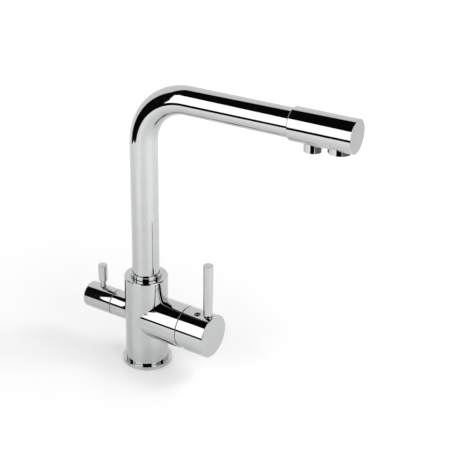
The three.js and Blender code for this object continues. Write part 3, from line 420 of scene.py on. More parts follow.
def slanted(axis, normal, angle):
    return axis.along * normal.x + axis.out(angle) * normal.y


def stitch(skin, first, second):
    """Faces between two rings of (angle, point, normal), each in order of its angles."""
    count = len(first)
    other = len(second)
    i = 0
    j = 0
    while i < count or j < other:
        here = first[(i + 1) % count][0] + (FULL_TURN if i + 1 >= count else 0)
        there = second[(j + 1) % other][0] + (FULL_TURN if j + 1 >= other else 0)
        step_first = i < count and (j >= other or here <= there + TINY)
        step_second = j < other and (i >= count or there <= here + TINY)
        corners = [first[i % count], second[j % other]]
        if step_second:
            corners.append(second[(j + 1) % other])
        if step_first:
            corners.append(first[(i + 1) % count])
        skin.face([(point, normal) for _, point, normal in corners])
        i += step_first
        j += step_second


def ring(axis, place, radius, columns, normal=None, facing=1):
    """A ring of corners with one shared normal, or with normals that point out or in."""
    place = level(place)
    return [(angle, axis.at(place(angle), radius, angle), normal or axis.out(angle) * facing)
            for angle in columns]


def drilled(skin, hole, barrel_radius, rim, floor):
    """A blind hole from its rim in a barrel down to a flat floor."""
    barrel(skin, hole.axis, hole.radius, rim, floor, hole.surface(barrel_radius), -1)
    turned(skin, hole.axis, [[(Vector((floor, hole.radius)), X.xy), (Vector((floor, 0)), X.xy)]], rim)


def plate(skin, normal, loops):
    """A flat face with openings: the first loop of points is its outline."""
    points = [point for loop in loops for point in loop]
    for triangle in tessellate_polygon(loops):
        skin.face([(points[index], normal) for index in triangle])


TRUNK_AXIS = Axis((0, 0, 0), Z, X)
VALVE_AXIS = Axis((0, 0, VALVE_HEIGHT), X, Z)
FILTER_AXIS = Axis((0, 0, VALVE_HEIGHT), -X, Z)


def body_skin():
    """The barrel with its two bosses, and the bores and holes that open to the outside."""
    skin = Skin()
    trunk = TRUNK_AXIS
    boss = Hole(trunk, VALVE_HEIGHT, 0, BODY_RADIUS)
    filter_boss = Hole(trunk, VALVE_HEIGHT, HALF_TURN, FILTER_BOSS_RADIUS)
    screw = Hole(trunk, SPOUT_SCREW_HEIGHT, QUARTER_TURN, SPOUT_SCREW_RADIUS)
    wanted = filter_boss.columns(BODY_RADIUS) + screw.columns(BODY_RADIUS)
    columns = column_angles(BARREL_STEPS, wanted + [-QUARTER_TURN, QUARTER_TURN])
    holes = (boss, filter_boss, screw)
    shoulder = BODY_TOP - SHOULDER_ROUND
    rims = dict(barrel(skin, trunk, BODY_RADIUS, columns, SPIGOT_TOP, shoulder, 1, holes))
    turned(skin, trunk, outline([
        (0, SPIGOT_RADIUS), (SPIGOT_TOP, SPIGOT_RADIUS), (SPIGOT_TOP, BODY_RADIUS),
    ]), columns)
    swivel_bore(skin, columns, screw, rims[screw])
    mixer_boss(skin, boss, rims[boss])
    filter_valve_boss(skin, filter_boss, rims[filter_boss])
    underside(skin, columns)
    return skin


def swivel_bore(skin, columns, screw, screw_rim):
    """The barrel's top, the bore that the spout swivels in, and the screw's hole through the wall."""
    mouth = SWIVEL_RADIUS + EDGE
    inner_mouth = mouth - TINY
    bore_top = BODY_TOP - EDGE
    turned(skin, TRUNK_AXIS, outline([
        (BODY_TOP - SHOULDER_ROUND, BODY_RADIUS), (BODY_TOP, BODY_RADIUS, SHOULDER_ROUND), (BODY_TOP, mouth),
    ]), columns)
    bore_columns = column_angles(SMALL_STEPS, screw.columns(SWIVEL_RADIUS))
    stitch(skin, ring(TRUNK_AXIS, BODY_TOP, mouth, columns, Z),
           ring(TRUNK_AXIS, BODY_TOP, inner_mouth, bore_columns, Z))
    turned(skin, TRUNK_AXIS, outline([(BODY_TOP, inner_mouth), (bore_top, SWIVEL_RADIUS)]), bore_columns)
    bore_rims = barrel(skin, TRUNK_AXIS, SWIVEL_RADIUS, bore_columns, SWIVEL_FLOOR, bore_top, -1, (screw,))
    turned(skin, TRUNK_AXIS, outline([(SWIVEL_FLOOR, SWIVEL_RADIUS), (SWIVEL_FLOOR, 0)]), bore_columns)
    stitch(skin, ring(screw.axis, screw.surface(BODY_RADIUS), screw.radius, screw_rim, facing=-1),
           ring(screw.axis, screw.surface(SWIVEL_RADIUS), screw.radius, bore_rims[0][1], facing=-1))


def mixer_boss(skin, boss, rim):
    """The boss that holds the mixing cartridge."""
    end = BOSS_REACH - EDGE
    thread_end = BOSS_REACH - BOSS_THREAD_LENGTH
    barrel(skin, boss.axis, BODY_RADIUS, rim, boss.surface(BODY_RADIUS), end, 1)
    turned(skin, boss.axis, outline([
        (end, BODY_RADIUS), (BOSS_REACH, BODY_RADIUS, EDGE), (BOSS_REACH, BOSS_THREAD_RADIUS, EDGE),
        (thread_end, BOSS_THREAD_RADIUS), (thread_end, CARTRIDGE_RADIUS),
        (CARTRIDGE_FLOOR, CARTRIDGE_RADIUS), (CARTRIDGE_FLOOR, 0),
    ]), rim)


def filter_valve_boss(skin, boss, rim):
    """The smaller boss that holds the filtered water's valve."""
    end = FILTER_BOSS_REACH - EDGE
    barrel(skin, boss.axis, FILTER_BOSS_RADIUS, rim, boss.surface(BODY_RADIUS), end, 1)
    turned(skin, boss.axis, outline([
        (end, FILTER_BOSS_RADIUS), (FILTER_BOSS_REACH, FILTER_BOSS_RADIUS, EDGE),
        (FILTER_BOSS_REACH, FILTER_CAVITY_RADIUS, EDGE),
        (FILTER_CAVITY_FLOOR, FILTER_CAVITY_RADIUS), (FILTER_CAVITY_FLOOR, 0),
    ]), rim)


def underside(skin, columns):
    """The foot's face, with the three ports and the stud's hole in it."""
    loops = [[TRUNK_AXIS.at(0, SPIGOT_RADIUS, angle) for angle in columns]]
    hole_columns = even_angles(2 * HOLE_STEPS)
    for angle in (HOT_PORT_ANGLE, -HOT_PORT_ANGLE, FILTERED_PORT_ANGLE):
        port = Axis(TRUNK_AXIS.at(0, PORT_CIRCLE, math.radians(angle)), Z, X)
        turned(skin, port, outline([
            (WATERWAY_DEPTH, 0), (WATERWAY_DEPTH, WATERWAY_RADIUS), (PORT_DEPTH, WATERWAY_RADIUS),
            (PORT_DEPTH, PORT_RADIUS), (0, PORT_RADIUS),
        ]), hole_columns)
        loops.append([port.at(0, PORT_RADIUS, turn) for turn in hole_columns])
    stud = Axis((STUD_HOLE_PLACE, 0, 0), Z, X)
    turned(skin, stud, outline([
        (STUD_HOLE_DEPTH, 0), (STUD_HOLE_DEPTH, STUD_HOLE_RADIUS), (0, STUD_HOLE_RADIUS),
    ]), hole_columns)
    loops.append([stud.at(0, STUD_HOLE_RADIUS, turn) for turn in hole_columns])
    plate(skin, -Z, loops)


def turned_skin(axis, points, steps):
    """A piece that is turned from one outline."""
    skin = Skin()
    turned(skin, axis, outline(points), even_angles(steps))
    return skin


def flange_skin():
    return turned_skin(TRUNK_AXIS, [
        (0, GASKET_OUTER), (0, FLANGE_RADIUS, EDGE), (FLANGE_TOP, FLANGE_RADIUS, EDGE),
        (FLANGE_TOP, FLANGE_BORE), (0, FLANGE_BORE),
        (0, GASKET_INNER), (GASKET_DEPTH, GASKET_INNER), (GASKET_DEPTH, GASKET_OUTER), (0, GASKET_OUTER),
    ], BARREL_STEPS)


def collar_skin():
    return turned_skin(TRUNK_AXIS, [
        (COLLAR_FOOT, COLLAR_BORE), (COLLAR_FOOT, COLLAR_RADIUS, EDGE),
        (COLLAR_TOP, COLLAR_RADIUS, COLLAR_ROUND), (COLLAR_TOP, COLLAR_BORE), (COLLAR_FOOT, COLLAR_BORE),
    ], BARREL_STEPS)


# The spout's frame
SPOUT_ALONG = Matrix.Rotation(math.radians(SPOUT_TURN), 3, "Z") @ X
SPOUT_ASIDE = Z.cross(SPOUT_ALONG)


def spout_point(along, height):
    return SPOUT_ALONG * along + Z * height


def tube_skin():
    """A round tube that rises, bends and runs level."""
    skin = Skin()
    stations = [(spout_point(0, COLLAR_FOOT), -SPOUT_ALONG)]
    centre = spout_point(BEND_RADIUS, SPOUT_HEIGHT - BEND_RADIUS)
    for step in range(BEND_STEPS + 1):
        turn = QUARTER_TURN * step / BEND_STEPS
        outward = Z * math.sin(turn) - SPOUT_ALONG * math.cos(turn)
        stations.append((centre + outward * BEND_RADIUS, outward))
    stations.append((spout_point(TUBE_END, SPOUT_HEIGHT), Z))
    angles = even_angles(BARREL_STEPS)

    def hoop(station, radius, normal=None, facing=1):
        middle, outward = station
        found = []
        for angle in angles:
            direction = outward * math.cos(angle) + SPOUT_ASIDE * math.sin(angle)
            found.append((angle, middle + direction * radius, normal or direction * facing))
        return found

    for here, there in zip(stations, stations[1:]):
        stitch(skin, hoop(here, TUBE_RADIUS), hoop(there, TUBE_RADIUS))
        stitch(skin, hoop(here, TUBE_BORE, facing=-1), hoop(there, TUBE_BORE, facing=-1))
    for station, normal in ((stations[0], -Z), (stations[-1], SPOUT_ALONG)):
        stitch(skin, hoop(station, TUBE_RADIUS, normal), hoop(station, TUBE_BORE, normal))
    return skin


def head_skin():
    """The sleeve at the spout's end, with the seats of both outlets in its underside."""
    skin = Skin()
    trunk = Axis(spout_point(0, SPOUT_HEIGHT), SPOUT_ALONG, Z)
    mixed = Hole(trunk, MIXED_PLACE, HALF_TURN, MIXED_HOLE_RADIUS)
    filtered = Hole(trunk, FILTERED_PLACE, HALF_TURN, FILTERED_HOLE_RADIUS)
    columns = column_angles(BARREL_STEPS, mixed.columns(HEAD_RADIUS) + filtered.columns(HEAD_RADIUS))
    bevel_end = HEAD_START + HEAD_BEVEL
    edge_start = HEAD_END - EDGE
    rims = barrel(skin, trunk, HEAD_RADIUS, columns, bevel_end, edge_start, 1, (mixed, filtered))
    for hole, rim in rims:
        drilled(skin, hole, HEAD_RADIUS, rim, MIXED_SEAT if hole is mixed else FILTERED_SEAT)
    turned(skin, trunk, outline([
        (CHAMBER_END, 0), (CHAMBER_END, CHAMBER_RADIUS), (SLEEVE_START, CHAMBER_RADIUS),
        (SLEEVE_START, SLEEVE_RADIUS), (HEAD_BORE_END, SLEEVE_RADIUS), (HEAD_BORE_END, HEAD_BORE),
        (HEAD_START, HEAD_BORE), (HEAD_START, HEAD_RADIUS - HEAD_BEVEL), (bevel_end, HEAD_RADIUS),
    ]), columns)
    turned(skin, trunk, outline([
        (edge_start, HEAD_RADIUS), (HEAD_END, HEAD_RADIUS, EDGE), (HEAD_END, 0),
    ]), columns)
    return skin


def outlet_skin(place, radius, bore, lip, drop, seat):
    """An outlet that hangs from its seat in the head, with a lip round its mouth."""
    foot = -drop
    top = -seat - GAP
    return turned_skin(Axis(spout_point(place, SPOUT_HEIGHT), Z, X), [
        (foot, lip), (foot, radius, EDGE), (top, radius, EDGE), (top, bore),
        (foot + LIP_HEIGHT, bore), (foot + LIP_HEIGHT, lip), (foot, lip),
    ], SMALL_STEPS)


def aerator_skin():
    return outlet_skin(MIXED_PLACE, MIXED_RADIUS, MIXED_BORE, MIXED_LIP, MIXED_DROP, MIXED_SEAT)


def filter_outlet_skin():
    return outlet_skin(FILTERED_PLACE, FILTERED_RADIUS, FILTERED_BORE, FILTERED_LIP, FILTERED_DROP,
                       FILTERED_SEAT)


def dome_skin():
    """Part of a sphere, open towards the cap, with a plate at the boss."""
    steps = 2 * ROUND_STEPS

    def on_sphere(start, end, radius, facing):
        """A stretch of a sphere that is centred on the end of the boss."""
        first = math.acos((start - BOSS_REACH) / radius)
        last = math.acos((end - BOSS_REACH) / radius)
        found = []
        for step in range(steps + 1):
            angle = first + (last - first) * step / steps
            direction = Vector((math.cos(angle), math.sin(angle)))
            found.append((Vector((BOSS_REACH, 0)) + direction * radius, direction * facing))
        return found

    plate_front = DOME_START + DOME_WALL
    outside = on_sphere(DOME_START, DOME_END, DOME_RADIUS, 1)
    inside = on_sphere(DOME_END, plate_front, DOME_RADIUS - DOME_WALL, -1)
    skin = Skin()
    columns = even_angles(BARREL_STEPS)
    turned(skin, VALVE_AXIS, [outside, inside], columns)
    turned(skin, VALVE_AXIS, outline([outside[-1][0], inside[0][0]]), columns)
    turned(skin, VALVE_AXIS, outline([
        inside[-1][0], (plate_front, DOME_OPENING), (DOME_START, DOME_OPENING), outside[0][0],
    ]), columns)
    return skin


def relief_stations():
    """Points (along, height) down the relief's outline, with heights from the cap's axis."""
    points = [Vector((CAP_START, -RELIEF_TOP)), Vector((CAP_START + RELIEF_WEDGE, -RELIEF_CORNER)),
              Vector((CAP_START + RELIEF_DEPTH - RELIEF_ROUND, -RELIEF_SHOULDER))]
    stations = []
    for first, second in zip(points, points[1:]):
        for step in range(RELIEF_STEPS + 1):
            stations.append(first.lerp(second, step / RELIEF_STEPS))
    centre = Vector((points[-1].x, -RELIEF_SHOULDER - RELIEF_ROUND))
    for step in range(1, ROUND_STEPS + 1):
        angle = QUARTER_TURN * step / ROUND_STEPS
        stations.append(centre + Vector((math.sin(angle), math.cos(angle))) * RELIEF_ROUND)
    return stations


def mouth_place(height):
    """Where the mixer cap's mouth lies along the axis, at a height above the axis."""
    if height > -RELIEF_TOP:
        return CAP_START
    stations = relief_stations()
    for first, second in zip(stations, stations[1:]):
        if height >= second.y - TINY and first.y > second.y:
            return first.x + (second.x - first.x) * min(1, (first.y - height) / (first.y - second.y))
    return stations[-1].x


def cap_inside(skin, axis, inner, mouth, bore, hub_radius, hub_start, floor, bosses):
    """A cap's inner wall and floor, its hub, and the bosses between hub and wall."""
    hub = column_angles(SMALL_STEPS, [angle for boss in bosses for angle in boss.columns(hub_radius)])
    wall_rims = barrel(skin, axis, bore, inner, mouth, floor, -1, bosses)
    hub_rims = barrel(skin, axis, hub_radius, hub, hub_start, floor, 1, bosses)
    for (boss, wall_rim), (_, hub_rim) in zip(wall_rims, hub_rims):
        stitch(skin, ring(boss.axis, boss.surface(bore), boss.radius, wall_rim),
               ring(boss.axis, boss.surface(hub_radius), boss.radius, hub_rim))
    turned(skin, axis, outline([(hub_start, 0), (hub_start, hub_radius)]), hub)
    stitch(skin, ring(axis, floor, bore, inner, -axis.along),
           ring(axis, floor, hub_radius, hub, -axis.along))


def mixer_cap_skin():
    """A cup with a relief at the back of its mouth, a hub inside and two bosses between hub and wall."""
    skin = Skin()
    lean = math.radians(SCREW_LEAN)
    heights = sorted(set(station.y for station in relief_stations()))

    def relief_columns(radius):
        return [side * math.acos(height / radius) for height in heights for side in (1, -1)]

    def mouth(radius):
        return lambda angle: mouth_place(radius * math.cos(angle))

    lever_hole = Hole(VALVE_AXIS, LEVER_PLACE, 0, LEVER_HOLE_RADIUS)
    screw_hole = Hole(VALVE_AXIS, SCREW_PLACE, lean, SCREW_HOLE_RADIUS)
    lever_boss = Hole(VALVE_AXIS, LEVER_PLACE, 0, LEVER_BOSS_RADIUS)
    screw_boss = Hole(VALVE_AXIS, SCREW_PLACE, lean, SCREW_BOSS_RADIUS)
    wanted = lever_hole.columns(CAP_RADIUS) + screw_hole.columns(CAP_RADIUS) + relief_columns(CAP_RADIUS)
    outer = column_angles(BARREL_STEPS, wanted)
    wanted = lever_boss.columns(CAP_BORE) + screw_boss.columns(CAP_BORE) + relief_columns(CAP_BORE)
    inner = column_angles(SMALL_STEPS, wanted)

    rim = CAP_END - CAP_ROUND
    holes = (lever_hole, screw_hole)
    outer_rims = barrel(skin, VALVE_AXIS, CAP_RADIUS, outer, mouth(CAP_RADIUS), rim, 1, holes)
    for hole, angles in outer_rims:
        drilled(skin, hole, CAP_RADIUS, angles, LEVER_HOLE_FLOOR if hole is lever_hole else SCREW_HOLE_FLOOR)
    turned(skin, VALVE_AXIS, outline([
        (rim, CAP_RADIUS), (CAP_END, CAP_RADIUS, CAP_ROUND), (CAP_END, 0),
    ]), outer)
    cap_inside(skin, VALVE_AXIS, inner, mouth(CAP_BORE), CAP_BORE, CAP_HUB_RADIUS, CAP_HUB_START,
               CAP_END - CAP_FACE, (lever_boss, screw_boss))
    cap_mouth(skin, outer, inner, mouth)
    return skin


def cap_mouth(skin, outer, inner, mouth):
    """The narrow face round the cap's mouth. Between the relief's ends, both rings have corners at the
    same heights, so that its faces run straight across."""
    lowest = min(station.y for station in relief_stations())

    def matched(angle, radius):
        """The angle round the outer ring that faces an angle round a ring of some radius."""
        height = radius * math.cos(angle)
        side = 1 if angle >= 0 else -1
        if lowest <= height <= -RELIEF_TOP:
            return side * math.acos(height / CAP_RADIUS)
        if height > -RELIEF_TOP:
            return angle * math.acos(-RELIEF_TOP / CAP_RADIUS) / math.acos(-RELIEF_TOP / radius)
        rest = HALF_TURN - abs(angle)
        return side * (HALF_TURN - rest * math.acos(-lowest / CAP_RADIUS) / math.acos(-lowest / radius))

    def facing(radius, angle):
        """Normal of the mouth's face, square to the relief's outline."""
        height = radius * math.cos(angle)
        rise = mouth_place(height + MOUTH_STEP) - mouth_place(height - MOUTH_STEP)
        return Vector((-2 * MOUTH_STEP, 0, -abs(rise))).normalized()

    def corner(radius, angle):
        return VALVE_AXIS.at(mouth(radius)(angle), radius, angle), facing(radius, angle)

    outer_ring = [(angle, *corner(CAP_RADIUS, angle)) for angle in outer]
    inner_ring = [(matched(angle, CAP_BORE), *corner(CAP_BORE, angle)) for angle in inner]
    stitch(skin, outer_ring, inner_ring)


def mixer_lever_skin():
    return turned_skin(Axis((LEVER_PLACE, 0, VALVE_HEIGHT), Z, X), [
        (LEVER_STUD_FOOT, 0), (LEVER_STUD_FOOT, LEVER_STUD_RADIUS), (LEVER_FOOT, LEVER_STUD_RADIUS),
        (LEVER_FOOT, LEVER_FOOT_RADIUS, EDGE), (LEVER_TOP, LEVER_TOP_RADIUS, EDGE), (LEVER_TOP, 0),
    ], SMALL_STEPS)


def filter_cap_skin():
    """A cup with a hub inside, and two bosses between hub and wall."""
    skin = Skin()
    radius = FILTER_CAP_RADIUS
    bore = FILTER_CAP_BORE
    lever_hole = Hole(FILTER_AXIS, FILTER_LEVER_PLACE, 0, FILTER_LEVER_HOLE_RADIUS)
    screw_hole = Hole(FILTER_AXIS, FILTER_SCREW_PLACE, HALF_TURN, FILTER_SCREW_RADIUS)
    lever_boss = Hole(FILTER_AXIS, FILTER_LEVER_PLACE, 0, FILTER_LEVER_BOSS_RADIUS)
    screw_boss = Hole(FILTER_AXIS, FILTER_SCREW_PLACE, HALF_TURN, FILTER_SCREW_RADIUS + EDGE)
    outer = column_angles(BARREL_STEPS, lever_hole.columns(radius) + screw_hole.columns(radius))
    inner = column_angles(SMALL_STEPS, lever_boss.columns(bore) + screw_boss.columns(bore))

    rim = FILTER_CAP_END - FILTER_CAP_ROUND
    mouth = FILTER_CAP_START
    rims = barrel(skin, FILTER_AXIS, radius, outer, mouth + EDGE, rim, 1, (lever_hole, screw_hole))
    for hole, angles in rims:
        drilled(skin, hole, radius, angles,
                FILTER_LEVER_HOLE_FLOOR if hole is lever_hole else FILTER_SCREW_FLOOR)
    turned(skin, FILTER_AXIS, outline([
        (mouth, bore + EDGE), (mouth, radius, EDGE), (mouth + EDGE, radius),
    ]), outer)
    turned(skin, FILTER_AXIS, outline([
        (rim, radius), (FILTER_CAP_END, radius, FILTER_CAP_ROUND), (FILTER_CAP_END, 0),
    ]), outer)
    stitch(skin, ring(FILTER_AXIS, mouth, bore + EDGE, outer, X), ring(FILTER_AXIS, mouth, bore, inner, X))
    cap_inside(skin, FILTER_AXIS, inner, mouth, bore, FILTER_HUB_RADIUS, FILTER_HUB_START,
               FILTER_CAP_END - FILTER_CAP_FACE, (lever_boss, screw_boss))
    return skin


def filter_lever_skin():
    return turned_skin(Axis((-FILTER_LEVER_PLACE, 0, VALVE_HEIGHT), Z, X), [
        (FILTER_LEVER_STUD_FOOT, 0), (FILTER_LEVER_STUD_FOOT, FILTER_LEVER_STUD_RADIUS),
        (FILTER_NECK_FOOT, FILTER_LEVER_STUD_RADIUS), (FILTER_NECK_FOOT, FILTER_NECK_RADIUS),
        (FILTER_NECK_TOP, FILTER_NECK_RADIUS), (FILTER_SHOULDER_TOP, FILTER_SHOULDER_RADIUS, EDGE),
        (FILTER_LEVER_TOP, FILTER_LEVER_TOP_RADIUS, EDGE), (FILTER_LEVER_TOP, 0),
    ], SMALL_STEPS)


NOISE_DETAIL = 3
NOISE_LOW = 0.3                        # the noise is spread out between these two values
NOISE_HIGH = 0.7


class Finish:
    """A node-based material that is varied by noise over the piece."""

    def __init__(self, name):
        self.material = bpy.data.materials.new(name)
        self.material.use_nodes = True
        self.nodes = self.material.node_tree.nodes
        self.links = self.material.node_tree.links
        self.shader = self.nodes["Principled BSDF"]
        self.place = self.nodes.new("ShaderNodeTexCoord").outputs["Object"]

    def noise(self, feature):
        """Noise whose features are about this many millimetres across."""
        node = self.nodes.new("ShaderNodeTexNoise")
        node.inputs["Scale"].default_value = 1 / (feature * MM)
        node.inputs["Detail"].default_value = NOISE_DETAIL
        self.links.new(self.place, node.inputs["Vector"])
        return node.outputs["Fac"]

    def colours(self, value, dark, light):
        node = self.nodes.new("ShaderNodeValToRGB")
        node.color_ramp.elements[0].position = NOISE_LOW
        node.color_ramp.elements[0].color = (*dark, 1)
        node.color_ramp.elements[1].position = NOISE_HIGH
        node.color_ramp.elements[1].color = (*light, 1)
        self.links.new(value, node.inputs["Fac"])
        self.links.new(node.outputs["Color"], self.shader.inputs["Base Color"])

    def roughness(self, value, least, most):
        node = self.nodes.new("ShaderNodeMapRange")
        node.inputs["From Min"].default_value = NOISE_LOW
        node.inputs["From Max"].default_value = NOISE_HIGH
        node.inputs["To Min"].default_value = least
        node.inputs["To Max"].default_value = most
        self.links.new(value, node.inputs["Value"])
        self.links.new(node.outputs["Result"], self.shader.inputs["Roughness"])

    def bump(self, value, height):
        """Relief of this many millimetres."""
        node = self.nodes.new("ShaderNodeBump")
        node.inputs["Distance"].default_value = height * MM
        self.links.new(value, node.inputs["Height"])
        self.links.new(node.outputs["Normal"], self.shader.inputs["Normal"])


def make_finish(name, metallic, dark, light, smoothest, roughest, feature, relief):
    """Colour varies over features of this size, relief over half and roughness over a third of it."""
    finish = Finish(name)
    finish.shader.inputs["Metallic"].default_value = metallic
    finish.colours(finish.noise(feature), dark, light)
    finish.roughness(finish.noise(feature / 3), smoothest, roughest)
    finish.bump(finish.noise(feature / 2), relief)
    return finish.material


FINISHES = {
    "chrome": make_finish(
        "chrome", metallic=1, dark=(0.52, 0.525, 0.53), light=(0.54, 0.545, 0.55),
        smoothest=0.02, roughest=0.045, feature=16, relief=0.003),
    "brass": make_finish(
        "brass", metallic=1, dark=(0.62, 0.42, 0.16), light=(0.76, 0.56, 0.26),
        smoothest=0.22, roughest=0.38, feature=3, relief=0.01),
    "steel": make_finish(
        "steel", metallic=1, dark=(0.36, 0.36, 0.37), light=(0.50, 0.50, 0.51),
        smoothest=0.25, roughest=0.4, feature=2, relief=0.01),
    "rubber": make_finish(
        "rubber", metallic=0, dark=(0.012, 0.012, 0.013), light=(0.03, 0.03, 0.032),
        smoothest=0.5, roughest=0.7, feature=1.5, relief=0.02),
    "plastic": make_finish(
        "plastic", metallic=0, dark=(0.70, 0.70, 0.69), light=(0.78, 0.78, 0.77),
        smoothest=0.35, roughest=0.5, feature=2, relief=0.01),
    "ceramic": make_finish(
        "ceramic", metallic=0, dark=(0.80, 0.79, 0.75), light=(0.88, 0.87, 0.84),
        smoothest=0.15, roughest=0.25, feature=2, relief=0.003),
}

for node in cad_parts.values():
    for material_slot in node.material_slots:
        material_slot.material = FINISHES[material_slot.material.name]

# Each dressed piece: the node that it stands for, its surface and the body that it rides on
PIECES = (
    ("body", body_skin, "tap_body"),
    ("base_flange", flange_skin, "tap_body"),
    ("spout_collar", collar_skin, "spout"),
    ("spout_tube", tube_skin, "spout"),
    ("spout_head", head_skin, "spout"),
    ("aerator_shell", aerator_skin, "spout"),
    ("filter_outlet_shell", filter_outlet_skin, "spout"),
    ("mixer_dome", dome_skin, "mixer_rotor"),
    ("mixer_cap", mixer_cap_skin, "mixer_handle"),
    ("mixer_lever", mixer_lever_skin, "mixer_handle"),
    ("filter_cap", filter_cap_skin, "filter_handle"),
    ("filter_lever", filter_lever_skin, "filter_handle"),
)
for node_name, make_skin, body in PIECES:
    make_skin().finish("polished_" + node_name, FINISHES["chrome"], "chrome", body, node_name)


# Stage: heights and distances in millimetres, directions in degrees from +x towards +y. A board is
# upright and faces the tap, and its corners are (aside, height), with aside to the left as seen from
# the tap. The chrome mirrors the softboxes as white bands and the flags as black ones.
FLOOR_SIZE = 6000
FLOOR_SHADE = 0.97
FLOOR_ROUGHNESS = 0.35
# The floor glows for the camera and mirrors, weakest near the tap and strongest far off. This painted glow
# whitens the far floor and leaves a painted shade round the tap, which the chrome mirrors.
FLOOR_NEAR = 150                       # the floor's own light is least up to this distance
FLOOR_FAR = 760                        # and most from this one on
FLOOR_NEAR_PAINTED_GLOW = 0.13
FLOOR_FAR_PAINTED_GLOW = 0.46
SURROUNDINGS_LIGHT = 0.5               # level that lights things
SURROUNDINGS_SEEN = 1.0                # level that the camera and mirrors see
CEILING_HEIGHT = 1400                  # the tall flags end at it too
CEILING_EDGE_DIRECTION = 138.7
CEILING_EDGE_DISTANCE = 624
CEILING_HALF_WIDTH = 1500
CEILING_DEPTH = 1700

# Left softbox. The front flag takes the place of its upper right corner, as seen from the tap.
LEFT_FACING = -117
LEFT_DISTANCE = 950
LEFT_NEAR = -430
LEFT_FAR = 690
LEFT_FOOT = 150
LEFT_CUT_START = 700
LEFT_CUT_END = -250
LEFT_TOP = 1190
LEFT_SOFTBOX = ((LEFT_NEAR, LEFT_FOOT), (LEFT_NEAR, LEFT_CUT_START), (LEFT_CUT_END, LEFT_TOP),
                (LEFT_FAR, LEFT_TOP), (LEFT_FAR, LEFT_FOOT))
FRONT_FLAG_NEAR = -600
FRONT_FLAG = ((FRONT_FLAG_NEAR, LEFT_CUT_START), (FRONT_FLAG_NEAR, CEILING_HEIGHT),
              (LEFT_FAR, CEILING_HEIGHT), (LEFT_FAR, LEFT_TOP), (LEFT_CUT_END, LEFT_TOP),
              (LEFT_NEAR, LEFT_CUT_START))
SKIRT_DISTANCE = 560                   # the left skirt slopes down to here from the softbox's foot
SKIRT_FOOT = 25

SIDE_FACING = -165
SIDE_DISTANCE = 610
SIDE_FLAG = ((20, 0), (630, 0), (580, 383), (440, 700), (350, 832), (350, CEILING_HEIGHT),
             (20, CEILING_HEIGHT))
MIDDLE_FACING = -56.5
MIDDLE_DISTANCE = 640
MIDDLE_HALF_WIDTH = 290
RIGHT_FACING = -8
RIGHT_DISTANCE = 775
RIGHT_FAR = 345
RIGHT_NEAR = -400
RIGHT_FOOT = 150
RIGHT_TOP = 1100
RIGHT_FLAG_END = 845

# A small white card that slopes so that the upright tube meets it edge on. Its corners are (aside, down
# the slope).
REFLECTOR_FACING = -130
REFLECTOR_HEIGHT = 256
REFLECTOR_SLOPE = math.radians(22.4)
REFLECTOR = ((-44, 165), (-10, 165), (8, 248), (31, 360), (4, 360), (-15, 293), (-32, 213))

# Two cards that lie level, just over the floor. Their corners are (x, y).
LOW_CARD_HEIGHT = 2
LOW_GREY_CARD = ((600, 100), (560, 560), (900, 560), (900, 100))
LOW_PALE_CARD = ((380, 600), (380, 900), (560, 900), (560, 600))

LAMP_DIRECTION = 26
LAMP_DISTANCE = 800
LAMP_HEIGHT = 900
LAMP_AIM = 100
LAMP_SIZE = 420
LAMP_ENERGY = 3

WHITE_LEVEL = 2
PALE_LEVEL = 0.88
GREY_LEVEL = 0.18
BLACK_LEVEL = 0.004
SQUARE = 90                            # degrees of a right angle


def toward(direction, distance, height):
    angle = math.radians(direction)
    return Vector((math.cos(angle) * distance, math.sin(angle) * distance, height))


def glow(name, strength):
    """A plain material that only gives light of an even level."""
    material = bpy.data.materials.new(name)
    material.use_nodes = True
    nodes = material.node_tree.nodes
    nodes.remove(nodes["Principled BSDF"])
    emission = nodes.new("ShaderNodeEmission")
    emission.inputs["Strength"].default_value = strength
    material.node_tree.links.new(emission.outputs["Emission"], nodes["Material Output"].inputs["Surface"])
    return material


WHITE_CARD = glow("white_card", WHITE_LEVEL)
GREY_CARD = glow("grey_card", GREY_LEVEL)
PALE_CARD = glow("pale_card", PALE_LEVEL)
BLACK_CARD = glow("black_card", BLACK_LEVEL)


def card(name, corners, material, lights_floor=False):
    """A flat card that shows in reflections, as a softbox or a black flag of a studio does."""
    mesh = bpy.data.meshes.new(name)
    mesh.from_pydata([corner * MM for corner in corners], [], [list(range(len(corners)))])
    mesh.materials.append(material)
    found = bpy.data.objects.new(name, mesh)
    bpy.context.scene.collection.objects.link(found)
    found.visible_camera = False
    found.visible_diffuse = lights_floor
    found.visible_shadow = False


def board_place(facing, distance, aside, height):
    return toward(facing, distance, height) + toward(facing + SQUARE, aside, 0)


def board(name, facing, distance, corners, material, lights_floor=False):
    """An upright card that faces the tap."""
    places = [board_place(facing, distance, *corner) for corner in corners]
    card(name, places, material, lights_floor)


def upright(start, end, foot, top):
    """Corners of an oblong board between two places aside and two heights."""
    return ((start, foot), (start, top), (end, top), (end, foot))


def seen_directly(nodes, links):
    """1 for what the camera sees, straight or in a mirror or glass, and 0 for light that falls on things."""
    path = nodes.new("ShaderNodeLightPath")
    seen = path.outputs["Is Camera Ray"]
    for output in ("Is Glossy Ray", "Is Transmission Ray"):
        either = nodes.new("ShaderNodeMath")
        either.operation = "MAXIMUM"
        links.new(seen, either.inputs[0])
        links.new(path.outputs[output], either.inputs[1])
        seen = either.outputs["Value"]
    return seen


